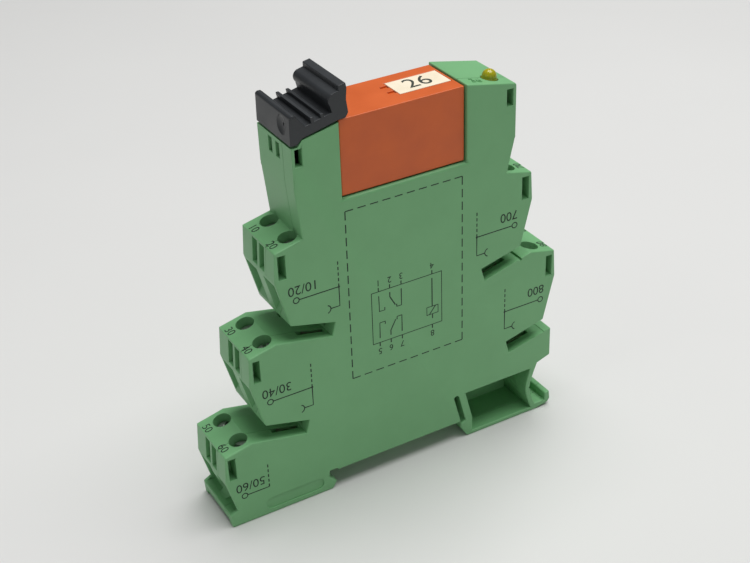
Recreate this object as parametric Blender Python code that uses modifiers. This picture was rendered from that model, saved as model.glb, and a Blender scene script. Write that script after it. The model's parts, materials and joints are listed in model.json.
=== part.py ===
"""Industrial control relay: a rail-mounted terminal base with a plug-in relay and an eject lever.

X runs along the length (contact terminals at -X, coil terminals at +X), Y across the thickness with
the printed face at -Y, and Z up from the feet. Sizes are in metres.
"""
import math

import bmesh
import bpy
from mathutils import Matrix, Vector

MM = 0.001

# Overall base
BODY_WIDTH = 14.0 * MM
SEAM_Y = -3.3 * MM
SEAM_GAP = 0.1 * MM
WALL = 1.1 * MM
CLEARANCE = 0.3 * MM
FIT = 0.1 * MM
INNER_GAP = 0.15 * MM
OVERCUT = 1.0 * MM

# Terminal levels: outer top corner of the upper level on each side, and the step to the next one
LEFT_TOP_X = -25.44 * MM
LEFT_TOP_Z = 60.24 * MM
LEFT_STEP_X = 7.08 * MM
LEFT_STEP_Z = 21.15 * MM
RIGHT_TOP_X = 33.05 * MM
RIGHT_TOP_Z = 61.06 * MM
RIGHT_STEP_X = 6.56 * MM
RIGHT_STEP_Z = 20.5 * MM
LEVEL_TILT = math.radians(13.0)
TERMINAL_Y = 3.85 * MM

# One level, measured in its own tilted frame from the screw axis at the top face
LEVEL_OUTER = 4.5 * MM
LEVEL_INNER = 1.7 * MM
BEND_OUT = 6.3 * MM
BEND_DOWN = 6.1 * MM
TAPER_OUT = 6.05 * MM
TAPER_DOWN = 16.9 * MM

# Bridge slots
SLOT_DEPTH = 9.94 * MM
SLOT_HEIGHT = 3.08 * MM
SLOT_TILT = math.radians(14.2)
SLIT_WIDTH = 1.4 * MM
SLIT_HEIGHT = 1.7 * MM
SLIT_REACH = 2.4 * MM
FLOOR_SLIT_START = 0.3 * MM
FLOOR_SLIT_LENGTH = 4.0 * MM
FLOOR_SLIT_DEPTH = 1.5 * MM
FLOOR_GROOVE_START = 9.0 * MM
FLOOR_GROOVE_WIDTH = 0.5 * MM
FLOOR_GROOVE_DEPTH = 0.35 * MM
CHANNEL_WIDTH = 2.4 * MM
CHANNEL_SIDE = 0.2 * MM
CHANNEL_DROP = 1.6 * MM

# Towers and relay ledge
TOWER_LEFT = -20.5 * MM
TOWER_TOP_DROP = 2.95 * MM
TOWER_BEND_Z = 72.46 * MM
TOWER_BEND_IN = 0.07 * MM
TOWER_ROOF_LEFT_DROP = 1.75 * MM
TOWER_ROOF_RIGHT_DROP = 0.2 * MM
TOWER_SHOULDER = 1.35 * MM
TOWER_CORNER = 2.4 * MM
TOWER_CAVITY_WIDTH = 10.8 * MM
TOWER_FLOOR_Z = 65.6 * MM
END_SLOT_Y = 0.3 * MM
END_SLOT_PITCH = 3.0 * MM
END_SLOT_WIDTH = 1.5 * MM
END_SLOT_HEIGHT = 3.2 * MM
END_SLOT_DROP = 0.7 * MM
TOWER_SNAP_DROP = 0.3 * MM
TOWER_SNAP_HEIGHT = 3.6 * MM
LED_TOWER_RIGHT = 28.7 * MM
LED_TOWER_BEND_Z = 69.6 * MM
LED_TOWER_HIGH_RISE = 0.38 * MM
LED_TOWER_LOW_DROP = 2.01 * MM
WINDOW_LEFT = -10.5 * MM
WINDOW_RIGHT = 17.3 * MM
LEDGE_Z = 67.5 * MM
LEDGE_THICKNESS = 3.5 * MM
LED_ROOF = 2.2 * MM
LED_END_WALL = 1.7 * MM
LED_FLOOR = 1.0 * MM

# Rail interface
SEAT_Z = 4.6 * MM
FOOT_LEFT = -39.4 * MM
FOOT_LIP_Z = 3.0 * MM
FOOT_LIP_OUT = 0.2 * MM
FOOT_LIP_IN = 1.4 * MM
FOOT_LIP_RISE = 0.9 * MM
FOOT_CHEEK = 1.5 * MM
SCOOP_CHEEK = 0.9 * MM
SCOOP_FLOOR_Z = 3.2 * MM
SCOOP_TOP_Z = 8.6 * MM
SCOOP_BACK_X = -36.7 * MM
SCOOP_LIP = 0.5 * MM
FOOT_HOLLOW_Z = 2.2 * MM
FOOT_HOLLOW_TOP = 1.0 * MM
FOOT_HOLLOW_RUN = 1.3 * MM
HOOK_LEFT_X = -16.1 * MM
HOOK_TIP_OUT = 1.06 * MM
HOOK_TIP_Z = 1.69 * MM
HOOK_NOTCH_Z = 3.43 * MM
HOOK_UNDERCUT = 0.2 * MM
CATCH_REACH = 1.2 * MM
CATCH_LOW_Z = 2.83 * MM
CATCH_HIGH_Z = 3.83 * MM
SEAT_LEFT = -16.6 * MM
SEAT_RIGHT = 15.9 * MM
SEAT_RELIEF = 0.4 * MM
ARM_SLOT_TOP_Z = 11.8 * MM
ARM_SLOT_WIDTH = 1.3 * MM
ARM_LEAN = 1.7 * MM
ARM_THICKNESS = 1.8 * MM
ARM_CORNER = 0.4 * MM
FOOT_FLOOR = 0.9 * MM
FOOT_BOTTOM_LEFT = 17.7 * MM
FOOT_BOTTOM_RIGHT = 35.9 * MM
FOOT_RIGHT = 40.0 * MM
LIP_HEIGHT = 3.6 * MM
LIP_THICKNESS = 1.4 * MM
LIP_FLOOR_Z = 1.5 * MM
LIP_DRAFT = 0.2 * MM
LIP_SLOPE = 0.3 * MM
TOE_CORNER = 0.6 * MM
SPRING_WALL = 1.2 * MM
SPRING_ROOT = 1.1 * MM
SPRING_LEAN = 0.8 * MM
SPRING_STEP = 2.0 * MM
SPRING_WAIST_X = 34.3 * MM
SPRING_WAIST_Z = 6.5 * MM
WAIST_ROUND = 0.2 * MM
WAIST_RISE = 1.4 * MM
WAIST_FLARE = 0.35 * MM
BLOCK_RIGHT = 39.5 * MM
BLOCK_TOP_Z = 20.8 * MM
BLOCK_BOTTOM_Z = 13.7 * MM
BLOCK_INSET = 3.3 * MM
BLOCK_NOTCH = 1.9 * MM
BLOCK_SLOPE = 0.4 * MM
POCKET_ROOF = 0.2 * MM
POCKET_BACK = 1.4 * MM

# Clamp, in the level frame
BORE_RADIUS = 1.95 * MM
HEAD_RADIUS = 1.75 * MM
HEAD_TOP = 2.0 * MM
HEAD_HEIGHT = 0.9 * MM
SCREW_RADIUS = 1.25 * MM
SCREW_TIP = 6.9 * MM
DRIVE_WIDTH = 0.6 * MM
DRIVE_DEPTH = 0.5 * MM
CAGE_LENGTH = 5.0 * MM
CAGE_WIDTH = 4.4 * MM
CAGE_TOP = 5.2 * MM
CAGE_HEIGHT = 7.0 * MM
CAGE_ROOF = 1.5 * MM
CAGE_SIDE = 0.7 * MM
CAGE_FLOOR = 0.9 * MM
TONGUE_START = 0.4 * MM
TONGUE_TOP = 7.2 * MM
TONGUE_THICKNESS = 0.8 * MM
TONGUE_WIDTH = CAGE_WIDTH - 2 * CAGE_SIDE - 2 * CLEARANCE
FUNNEL_WIDTH = 4.9 * MM
FUNNEL_TOP = 6.9 * MM
FUNNEL_BOTTOM = 16.3 * MM
FUNNEL_THROAT = 2.9 * MM
PROBE_Y = 1.5 * MM
PROBE_WIDTH = 1.6 * MM
PROBE_DEPTH = 1.5 * MM
PROBE_TOP = 0.5 * MM
PROBE_BOTTOM = 5.8 * MM

# Snap windows beside each level and tower
SNAP_INSET = 0.65 * MM
SNAP_WIDTH = 1.5 * MM
SNAP_HEIGHT = 5.0 * MM
SNAP_DROP = 0.9 * MM
SNAP_DEPTH = 1.6 * MM

# Marking recess on the left foot
PILL_LEFT = -30.2 * MM
PILL_RIGHT = -19.6 * MM
PILL_Z = 2.65 * MM
PILL_RADIUS = 1.4 * MM
PILL_DEPTH = 0.25 * MM

# Relay
RELAY_GAP = 0.25 * MM
RELAY_WIDTH = 12.7 * MM
RELAY_HEIGHT = 15.7 * MM
CASE_WALL = 0.8 * MM
RELAY_BASE_HEIGHT = 2.0 * MM
PIN_ROW_Y = 3.75 * MM
PIN_COIL_X = 15.2 * MM
PIN_FIRST_X = -8.6 * MM
PIN_PITCH = 4.6 * MM
PIN_THICKNESS = 0.5 * MM
PIN_WIDTH = 1.0 * MM
PIN_LENGTH = 6.2 * MM
PIN_HEEL = 0.6 * MM
PIN_STEP = 0.3 * MM
COIL_LEFT = 2.6 * MM
COIL_RIGHT = 14.0 * MM
COIL_Z_ABOVE_BASE = 5.9 * MM
CORE_RADIUS = 1.6 * MM
BOBBIN_RADIUS = 2.3 * MM
WINDING_RADIUS = 4.3 * MM
FLANGE_SIZE = 9.2 * MM
FLANGE_THICKNESS = 0.7 * MM
YOKE_THICKNESS = 1.0 * MM
YOKE_WIDTH = 8.4 * MM
YOKE_SIDE = 1.2 * MM
CORE_PROUD = 0.3 * MM
ARMATURE_GAP = 0.75 * MM
ARMATURE_THICKNESS = 1.0 * MM
ARMATURE_DROP = 0.4 * MM
BLADE_THICKNESS = 0.3 * MM
BLADE_WIDTH = 2.4 * MM
CARD_HEIGHT = 1.6 * MM
CARD_HEAD = 1.4 * MM
CARD_STEP = 0.2 * MM
BUTTON_DROP = 1.4 * MM
BUTTON_HALF = 0.7 * MM
BUTTON_RADIUS = 0.8 * MM
BUTTON_SIDES = 12
PIN_ABOVE_BUTTON = 1.2 * MM
CONTACT_GAP = 0.65 * MM
TAG_LENGTH = 11.6 * MM
TAG_WIDTH = 6.1 * MM
TAG_THICKNESS = 0.3 * MM
TAG_RECESS = 0.4 * MM
TAG_END = 0.5 * MM
TAG_Y = 0.3 * MM
TAG_NOTCH_LENGTH = 1.6 * MM
TAG_NOTCH_WIDTH = 1.1 * MM
TAG_NOTCH_Y = 1.4 * MM
TAG_NOTCH_LAP = 0.2 * MM

# Busbars
BAR_THICKNESS = 0.6 * MM
BAR_HEIGHT = 1.8 * MM
BAR_SPACING = 0.85 * MM
BRANCH_HEIGHT = 1.25 * MM
BRANCH_STEP = 0.05 * MM
SOCKET_LENGTH = 1.9 * MM
SOCKET_WIDTH = 2.4 * MM
SOCKET_HEIGHT = 4.0 * MM
BAR_REACH = 1.2 * MM
BAR_START = 1.0 * MM
BRANCH_SET = 1.4 * MM
BRANCH_TIP = 0.5 * MM
COIL_BAR_REACH = 2.6 * MM
COIL_BAR_YOKE = 0.9 * MM
COIL_BAR_START = 0.8 * MM

# Lever
PIVOT_X = -17.2 * MM
PIVOT_Z = 68.5 * MM
TRUNNION_RADIUS = 0.9 * MM
TRUNNION_LENGTH = 12.4 * MM
TRUNNION_CLEARANCE = 0.1 * MM
LEVER_WIDTH = 13.9 * MM
LEG_WIDTH = 8.4 * MM
TOE_WIDTH = 4.2 * MM
TOE_REACH = 8.8 * MM
TOE_HEIGHT = 1.5 * MM
EYE_WALL = 0.45 * MM
TOE_CHAMFER = 0.4 * MM
TOE_DRAFT = 0.3 * MM
LEG_BACK = 0.3 * MM
LEG_FRONT = 1.2 * MM
LEG_KNEE_Z = 5.0 * MM
LEG_KNEE_X = 0.9 * MM
LEG_HIP_X = 4.0 * MM
LEG_HIP_RISE = 0.4 * MM
LEG_THICKNESS = 2.0 * MM

# Lever cap: rim and groove on the left, grip roll and horn over the relay on the right
LEVER_GAP = 0.45 * MM
LEVER_PROUD = 0.05 * MM
ROOF_GAP = 0.5 * MM
CAP_HEIGHT = 5.9 * MM
CAP_DRAFT = 0.1 * MM
RIM_THICKNESS = 1.6 * MM
RIM_ROUND = 0.6 * MM
GROOVE_RUN = 1.7 * MM
GROOVE_DEPTH = 2.6 * MM
GROOVE_CURVE = 0.6
NECK_IN = 1.3 * MM
NECK_DROP = 1.3 * MM
ROLL_RADIUS = 1.4 * MM
ROLL_IN = 0.6 * MM
ROLL_RISE = 0.95 * MM
ROLL_START = math.radians(225.0)
ROLL_END = math.radians(115.0)
HORN_STEP_RISE = 2.55 * MM
HORN_BACK_RISE = 3.5 * MM
HORN_RISE = 3.8 * MM
HORN_BACK = 0.2 * MM
HORN_FRONT = 1.75 * MM
HORN_WAIST_RISE = 0.5 * MM
HORN_ROUND = 1.0 * MM
HORN_LIP = 2.1 * MM
HORN_LIP_DROP = 2.1 * MM
HORN_HEEL = 1.5 * MM
HORN_OVER_RELAY = 0.4 * MM
RIB_FIRST = 4.6 * MM
RIB_PITCH = 2.1 * MM
RIB_WIDTH = 0.7 * MM
RIB_LEAN = 0.35 * MM
RIB_FOOT_DROP = 2.9 * MM
RIB_TOP_DROP = 1.18 * MM
RIB_TOP_STEP = 0.15 * MM
DIMPLE_Y = -3.75 * MM
DIMPLE_DROP = 2.1 * MM
DIMPLE_RADIUS = 1.5 * MM
DIMPLE_DEPTH = 0.2 * MM

# Indicator and board
LED_X = 24.6 * MM
LED_Y = -3.6 * MM
LED_RADIUS = 1.5 * MM
LED_DOME = 1.9 * MM
LED_BODY = 4.2 * MM
BOARD_THICKNESS = 1.2 * MM
BOARD_Y = 0.4 * MM
LEAD_LENGTH = 3.4 * MM
LEAD_PITCH = 1.4 * MM
LEAD_SIZE = 0.5 * MM
LEAD_ROOT = 0.4 * MM
DIODE_RADIUS = 1.0 * MM
DIODE_LENGTH = 5.0 * MM
DIODE_X = 1.2 * MM
DIODE_Z = 3.0 * MM
RESISTOR_X = 1.4 * MM
RESISTOR_Z = 7.0 * MM
RESISTOR_LENGTH = 3.2 * MM
RESISTOR_HEIGHT = 1.7 * MM
RESISTOR_THICKNESS = 0.7 * MM

HALF = BODY_WIDTH / 2
SEGMENTS = 20
ROUND_SEGMENTS = 24
ROD_SEGMENTS = 16
ARC_STEPS = 8
RIM_STEPS = 4
FAR = 60 * MM
MERGE = 1e-7
SHARP_ANGLE = math.radians(35.0)
MITRE_LIMIT = 0.3


def clear_scene():
    for item in list(bpy.data.objects):
        bpy.data.objects.remove(item, do_unlink=True)


def collection(name):
    group = bpy.data.collections.new(name)
    bpy.context.scene.collection.children.link(group)
    return group


def srgb(value):
    return value / 12.92 if value <= 0.04045 else ((value + 0.055) / 1.055) ** 2.4


def material(name, colour, roughness, metallic=0.0):
    shader = bpy.data.materials.new(name)
    shader.use_nodes = True
    principled = shader.node_tree.nodes["Principled BSDF"]
    channels = [srgb(int(colour[i:i + 2], 16) / 255) for i in (1, 3, 5)]
    principled.inputs["Base Color"].default_value = (*channels, 1.0)
    principled.inputs["Roughness"].default_value = roughness
    principled.inputs["Metallic"].default_value = metallic
    return shader


def add_object(name, mesh):
    item = bpy.data.objects.new(name, mesh)
    WORK.objects.link(item)
    return item


def from_bmesh(name, bm):
    bmesh.ops.recalc_face_normals(bm, faces=bm.faces)
    if bm.calc_volume(signed=True) < 0:
        bmesh.ops.reverse_faces(bm, faces=bm.faces)
    mesh = bpy.data.meshes.new(name)
    bm.to_mesh(mesh)
    bm.free()
    return add_object(name, mesh)


def box(low, high, frame=Matrix()):
    """A block between two corners, given in a frame."""
    centre = (Vector(low) + Vector(high)) / 2
    size = Vector(high) - Vector(low)
    bm = bmesh.new()
    bmesh.ops.create_cube(bm, size=1.0)
    bm.transform(frame @ Matrix.Translation(centre) @ Matrix.Diagonal((*size, 1.0)))
    return from_bmesh("box", bm)


def rod(start, end, radius, end_radius=None, frame=Matrix(), segments=SEGMENTS, spin=0.0):
    """A cylinder or cone between two points of a frame, turned by spin about its axis."""
    axis = Vector(end) - Vector(start)
    turn = axis.to_track_quat("Z", "Y").to_matrix().to_4x4()
    bm = bmesh.new()
    bmesh.ops.create_cone(
        bm, cap_ends=True, segments=segments, radius1=radius,
        radius2=radius if end_radius is None else end_radius, depth=axis.length)
    turn = turn @ Matrix.Rotation(spin, 4, "Z")
    bm.transform(frame @ Matrix.Translation((Vector(start) + Vector(end)) / 2) @ turn)
    return from_bmesh("rod", bm)


def turned(profile, x, y):
    """A body of revolution about a vertical axis, from its radius and height, top to bottom."""
    mesh = bpy.data.meshes.new("profile")
    edges = [(index, index + 1) for index in range(len(profile) - 1)]
    mesh.from_pydata([(radius, 0.0, z) for radius, z in profile], edges, [])
    item = add_object("profile", mesh)
    turn = item.modifiers.new("turn", "SCREW")
    turn.axis = "Z"
    turn.steps = SEGMENTS
    turn.render_steps = SEGMENTS
    turn.use_merge_vertices = True
    turn.merge_threshold = MERGE
    depsgraph = bpy.context.evaluated_depsgraph_get()
    solid = bpy.data.meshes.new_from_object(item.evaluated_get(depsgraph))
    bpy.data.objects.remove(item, do_unlink=True)
    bm = bmesh.new()
    bm.from_mesh(solid)
    bmesh.ops.remove_doubles(bm, verts=bm.verts, dist=MERGE)
    bm.transform(Matrix.Translation((x, y, 0.0)))
    return from_bmesh("turned", bm)


def plate(points, low_y, high_y):
    """A flat outline in the XZ plane, extruded across the thickness."""
    curve = bpy.data.curves.new("outline", "CURVE")
    curve.dimensions = "2D"
    curve.fill_mode = "BOTH"
    curve.extrude = (high_y - low_y) / 2
    spline = curve.splines.new("POLY")
    spline.points.add(len(points) - 1)
    for point, (x, z) in zip(spline.points, points):
        point.co = (x, z, 0.0, 1.0)
    spline.use_cyclic_u = True
    flat = add_object("outline", curve)
    depsgraph = bpy.context.evaluated_depsgraph_get()
    mesh = bpy.data.meshes.new_from_object(flat.evaluated_get(depsgraph))
    bpy.data.objects.remove(flat, do_unlink=True)
    bm = bmesh.new()
    bm.from_mesh(mesh)
    bmesh.ops.remove_doubles(bm, verts=bm.verts, dist=MERGE)
    middle = Matrix.Translation((0.0, (low_y + high_y) / 2, 0.0))
    bm.transform(middle @ Matrix.Rotation(math.pi / 2, 4, "X"))
    return from_bmesh("plate", bm)


def combine(target, others, operation):
    """Boolean the other solids into the target, one after the other, and keep the result."""
    for other in others:
        step = target.modifiers.new(operation.lower(), "BOOLEAN")
        step.operation = operation
        step.object = other
        other.hide_render = True
        other.display_type = "WIRE"
        depsgraph = bpy.context.evaluated_depsgraph_get()
        mesh = bpy.data.meshes.new_from_object(target.evaluated_get(depsgraph))
        target.modifiers.clear()
        target.data = mesh
        bpy.data.objects.remove(other, do_unlink=True)
    return target


def cut(target, *others):
    return combine(target, others, "DIFFERENCE")


def join(target, *others):
    return combine(target, others, "UNION")


def common(target, other):
    return combine(target, [other], "INTERSECT")


def part(name, item, shader):
    """Name a finished solid and put it with the parts."""
    item.name = name
    item.data.name = name
    item.data.materials.clear()
    item.data.materials.append(shader)
    item.data.shade_smooth()
    item.data.set_sharp_from_angle(angle=SHARP_ANGLE)
    WORK.objects.unlink(item)
    PARTS.objects.link(item)
    return item


def set_origin(item, point):
    """Put a moving piece's origin on its joint."""
    item.data.transform(Matrix.Translation(-Vector(point)))
    item.location = point


def strip(points, height, low_y, high_y):
    """A bar of constant height that follows a path in the XZ plane."""
    path = [Vector(point) for point in points]
    left = []
    right = []
    for index, point in enumerate(path):
        before = (point - path[index - 1]).normalized() if index else None
        after = (path[index + 1] - point).normalized() if index < len(path) - 1 else None
        heading = ((before or after) + (after or before)).normalized()
        normal = Vector((-heading.y, heading.x))
        stretch = height / 2 / max(MITRE_LIMIT, heading.dot(after or before))
        left.append(point + normal * stretch)
        right.append(point - normal * stretch)
    return plate([tuple(point) for point in left + right[::-1]], low_y, high_y)


def arc(x, z, radius, start, end, steps=ARC_STEPS):
    """Points along an arc in the XZ plane."""
    angles = [start + (end - start) * step / steps for step in range(steps + 1)]
    return [(x + radius * math.cos(angle), z + radius * math.sin(angle)) for angle in angles]


def frustum(near, far, frame):
    """A tapered block between two rectangles that face along X, each given by its two corners."""
    bm = bmesh.new()
    for low, high in (near, far):
        for y, z in ((low[1], low[2]), (high[1], low[2]), (high[1], high[2]), (low[1], high[2])):
            bm.verts.new((low[0], y, z))
    bmesh.ops.convex_hull(bm, input=bm.verts)
    bm.transform(frame)
    return from_bmesh("frustum", bm)


class Level:
    """One terminal level: its tilted frame, its outline and the places of its clamps."""

    def __init__(self, name, side, index):
        self.name = name
        self.side = side
        if side < 0:
            outer = Vector((LEFT_TOP_X - index * LEFT_STEP_X, LEFT_TOP_Z - index * LEFT_STEP_Z))
        else:
            outer = Vector((RIGHT_TOP_X + index * RIGHT_STEP_X, RIGHT_TOP_Z - index * RIGHT_STEP_Z))
        self.inward = Vector((-side * math.cos(LEVEL_TILT), math.sin(LEVEL_TILT)))
        self.upward = Vector((side * math.sin(LEVEL_TILT), math.cos(LEVEL_TILT)))
        self.centre = outer + self.inward * LEVEL_OUTER
        self.outer = outer

    def at(self, along, up):
        """A point of the level's frame in the XZ plane: along runs inwards, up out of the top."""
        return self.centre + self.inward * along + self.upward * up

    def frame(self, y):
        turn = Matrix.Rotation(-LEVEL_TILT, 4, "Y")
        if self.side > 0:
            turn = Matrix.Rotation(math.pi, 4, "Z") @ turn
        return Matrix.Translation((self.centre.x, y, self.centre.y)) @ turn

    def bend(self):
        return self.at(-BEND_OUT, -BEND_DOWN)

    def taper(self):
        return self.at(-TAPER_OUT, -TAPER_DOWN)

    def ridge(self):
        return self.at(LEVEL_INNER, 0.0)

    def slot(self):
        """Inner top and inner bottom of the bridge slot below the level."""
        into = Vector((-self.side * math.cos(SLOT_TILT), -math.sin(SLOT_TILT)))
        down = Vector((self.side * math.sin(SLOT_TILT), -math.cos(SLOT_TILT)))
        top = self.taper() + into * SLOT_DEPTH
        return top, top + down * SLOT_HEIGHT

    def slot_end(self):
        top, bottom = self.slot()
        return (top + bottom) / 2


LEFT_LEVELS = [Level(name, -1, index) for index, name in enumerate(("common", "make", "break"))]
RIGHT_LEVELS = [Level(name, 1, index) for index, name in enumerate(("coil_minus", "coil_plus"))]
LEVELS = LEFT_LEVELS + RIGHT_LEVELS
BRIDGED_LEVELS = LEFT_LEVELS[:2] + RIGHT_LEVELS

RELAY_LEFT = WINDOW_LEFT + RELAY_GAP
RELAY_RIGHT = WINDOW_RIGHT - RELAY_GAP
RELAY_BOTTOM = LEDGE_Z + CLEARANCE
RELAY_TOP = RELAY_BOTTOM + RELAY_HEIGHT
TOWER_TOP_Z = RELAY_TOP - TOWER_TOP_DROP
TOWER_ROOF_LEFT_Z = RELAY_TOP - TOWER_ROOF_LEFT_DROP
TOWER_ROOF_RIGHT_Z = RELAY_TOP - TOWER_ROOF_RIGHT_DROP
LED_TOWER_HIGH_Z = RELAY_TOP + LED_TOWER_HIGH_RISE
LED_TOWER_LOW_Z = RELAY_TOP - LED_TOWER_LOW_DROP
CHAMBER_TOP = LEDGE_Z - LEDGE_THICKNESS
CHAMBER_LEFT = LEFT_LEVELS[0].slot()[0].x + WALL
CHAMBER_RIGHT = RIGHT_LEVELS[0].slot()[0].x - WALL
CHAMBER_Y = HALF - WALL
PIN_CONTACT_X = [PIN_FIRST_X + index * PIN_PITCH for index in range(3)]
PIN_TIP = RELAY_BOTTOM - (PIN_LENGTH - RELAY_BASE_HEIGHT)
LED_SLOPE = (LED_TOWER_LOW_Z - LED_TOWER_HIGH_Z) / (LED_TOWER_RIGHT - WINDOW_RIGHT)
LED_ROOF_Z = LED_TOWER_HIGH_Z + LED_SLOPE * (LED_X - WINDOW_RIGHT)


def body_outline():
    """The base seen from the printed face, clockwise from the left foot."""
    upper, middle, lower = LEFT_LEVELS
    coil_minus, coil_plus = RIGHT_LEVELS
    points = [
        (FOOT_LEFT, 0.0),
        (FOOT_LEFT - FOOT_LIP_OUT, FOOT_LIP_Z),
        (FOOT_LEFT + FOOT_LIP_IN, FOOT_LIP_Z + FOOT_LIP_RISE),
    ]
    points += [tuple(lower.bend()), tuple(lower.outer), tuple(lower.ridge())]
    for below, above in ((lower, middle), (middle, upper)):
        inner_top, inner_bottom = above.slot()
        points += [tuple(inner_bottom), tuple(inner_top), tuple(above.taper())]
        points += [tuple(above.bend()), tuple(above.outer), tuple(above.ridge())]
    points += [
        (TOWER_LEFT + TOWER_BEND_IN, TOWER_BEND_Z),
        (TOWER_LEFT, TOWER_TOP_Z),
        (TOWER_LEFT + TOWER_SHOULDER, TOWER_TOP_Z),
        (TOWER_LEFT + TOWER_CORNER, TOWER_ROOF_LEFT_Z),
        (WINDOW_LEFT, TOWER_ROOF_RIGHT_Z),
        (WINDOW_LEFT, LEDGE_Z),
        (WINDOW_RIGHT, LEDGE_Z),
        (WINDOW_RIGHT, LED_TOWER_HIGH_Z),
        (LED_TOWER_RIGHT, LED_TOWER_LOW_Z),
        (LED_TOWER_RIGHT, LED_TOWER_BEND_Z),
    ]
    points += [tuple(coil_minus.ridge()), tuple(coil_minus.outer), tuple(coil_minus.bend())]
    points += [tuple(coil_minus.taper()), *(tuple(point) for point in coil_minus.slot())]
    points += [tuple(coil_plus.ridge()), tuple(coil_plus.outer), tuple(coil_plus.bend())]
    points += [tuple(coil_plus.taper()), *(tuple(point) for point in coil_plus.slot())]
    points += foot_outline()
    return points


def foot_outline():
    """The right block, the sprung foot and the rail recess, from right to left."""
    slot_right = SEAT_RIGHT + ARM_SLOT_WIDTH
    spring_x = BLOCK_RIGHT - BLOCK_INSET
    spring_z = BLOCK_BOTTOM_Z - SPRING_ROOT
    seat_edge = HOOK_LEFT_X + HOOK_TIP_OUT + CLEARANCE
    return [
        (BLOCK_RIGHT - BLOCK_NOTCH, BLOCK_TOP_Z - BLOCK_SLOPE),
        (BLOCK_RIGHT, BLOCK_TOP_Z),
        (BLOCK_RIGHT, BLOCK_BOTTOM_Z),
        (spring_x, spring_z),
        (spring_x - SPRING_LEAN, spring_z - SPRING_STEP),
        (SPRING_WAIST_X + WAIST_ROUND, SPRING_WAIST_Z + WAIST_RISE),
        (SPRING_WAIST_X, SPRING_WAIST_Z),
        (SPRING_WAIST_X + WAIST_FLARE, SPRING_WAIST_Z - SPRING_STEP),
        (FOOT_BOTTOM_RIGHT, LIP_FLOOR_Z),
        (FOOT_RIGHT - LIP_THICKNESS, LIP_FLOOR_Z),
        (FOOT_RIGHT - LIP_THICKNESS, LIP_HEIGHT - LIP_SLOPE),
        (FOOT_RIGHT - LIP_DRAFT, LIP_HEIGHT),
        (FOOT_RIGHT, LIP_FLOOR_Z),
        (FOOT_RIGHT - TOE_CORNER, TOE_CORNER),
        (FOOT_BOTTOM_RIGHT, 0.0),
        (FOOT_BOTTOM_LEFT, 0.0),
        (slot_right - CATCH_REACH, CATCH_LOW_Z),
        (slot_right - CATCH_REACH, CATCH_HIGH_Z),
        (slot_right, SEAT_Z),
        (slot_right - ARM_LEAN, ARM_SLOT_TOP_Z - ARM_CORNER),
        (slot_right - ARM_LEAN - ARM_CORNER, ARM_SLOT_TOP_Z),
        (SEAT_RIGHT - ARM_LEAN + ARM_CORNER, ARM_SLOT_TOP_Z),
        (SEAT_RIGHT - ARM_LEAN, ARM_SLOT_TOP_Z - ARM_CORNER),
        (SEAT_RIGHT, SEAT_Z),
        (seat_edge, SEAT_Z),
        (seat_edge, SEAT_Z + SEAT_RELIEF),
        (SEAT_LEFT, SEAT_Z + SEAT_RELIEF),
        (SEAT_LEFT - HOOK_UNDERCUT, HOOK_NOTCH_Z),
        (HOOK_LEFT_X + HOOK_TIP_OUT, HOOK_TIP_Z),
        (HOOK_LEFT_X, 0.0),
    ]


def terminal_cutters(level):
    """Screw bores, clamp chambers, wire funnels, probe slots and snap windows of one level."""
    cutters = []
    chamber_u = CAGE_LENGTH / 2 + CLEARANCE
    chamber_y = CAGE_WIDTH / 2 + CLEARANCE
    chamber_bottom = -(CAGE_TOP + CAGE_HEIGHT + CLEARANCE)
    chamber_top = -(HEAD_TOP + HEAD_HEIGHT + CLEARANCE)
    wire_v = -(CAGE_TOP + CAGE_HEIGHT - CAGE_FLOOR + TONGUE_TOP + TONGUE_THICKNESS) / 2
    mouth = -BEND_OUT - CLEARANCE
    throat = -chamber_u + FIT
    half_width = FUNNEL_WIDTH / 2
    half_throat = FUNNEL_THROAT / 2
    face = level.outer.x
    span = sorted((face - level.side * PROBE_DEPTH, face + level.side * 2 * OVERCUT))
    for sign in (-1, 1):
        frame = level.frame(sign * TERMINAL_Y)
        cutters.append(rod((0, 0, OVERCUT), (0, 0, chamber_top - FIT), BORE_RADIUS, frame=frame))
        cutters.append(box((-chamber_u, -chamber_y, chamber_bottom),
                           (chamber_u, chamber_y, chamber_top), frame))
        cutters.append(frustum(((mouth, -half_width, -FUNNEL_BOTTOM), (mouth, half_width, -FUNNEL_TOP)),
                               ((throat, -half_throat, wire_v - half_throat),
                                (throat, half_throat, wire_v + half_throat)), frame))
        probe_y = sign * PROBE_Y
        cutters.append(box((span[0], probe_y - PROBE_WIDTH / 2, level.outer.y - PROBE_BOTTOM),
                           (span[1], probe_y + PROBE_WIDTH / 2, level.outer.y - PROBE_TOP)))
        cutters.append(snap_window(face, -level.side, level.outer.y - SNAP_DROP, SNAP_HEIGHT, sign))
    return cutters


def snap_window(edge_x, inward, top_z, height, sign):
    """A pocket in a side face, near an outer edge."""
    span = sorted((edge_x + inward * SNAP_INSET, edge_x + inward * (SNAP_INSET + SNAP_WIDTH)))
    depth = sorted((sign * (HALF - SNAP_DEPTH), sign * (HALF + OVERCUT)))
    return box((span[0], depth[0], top_z - height), (span[1], depth[1], top_z))


def chamber(low_x, high_x, low_z, high_z):
    return box((low_x, -CHAMBER_Y, low_z), (high_x, CHAMBER_Y, high_z))


def wing(level):
    """The room behind a level's clamps, open to the middle chamber."""
    near = level.at(CAGE_LENGTH / 2, -CAGE_TOP - WALL / 2)
    low = level.at(CAGE_LENGTH / 2, -CAGE_TOP - CAGE_HEIGHT).y
    span = sorted((near.x, CHAMBER_LEFT + WALL if level.side < 0 else CHAMBER_RIGHT - WALL))
    return chamber(span[0], span[1], low, near.y)


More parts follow.
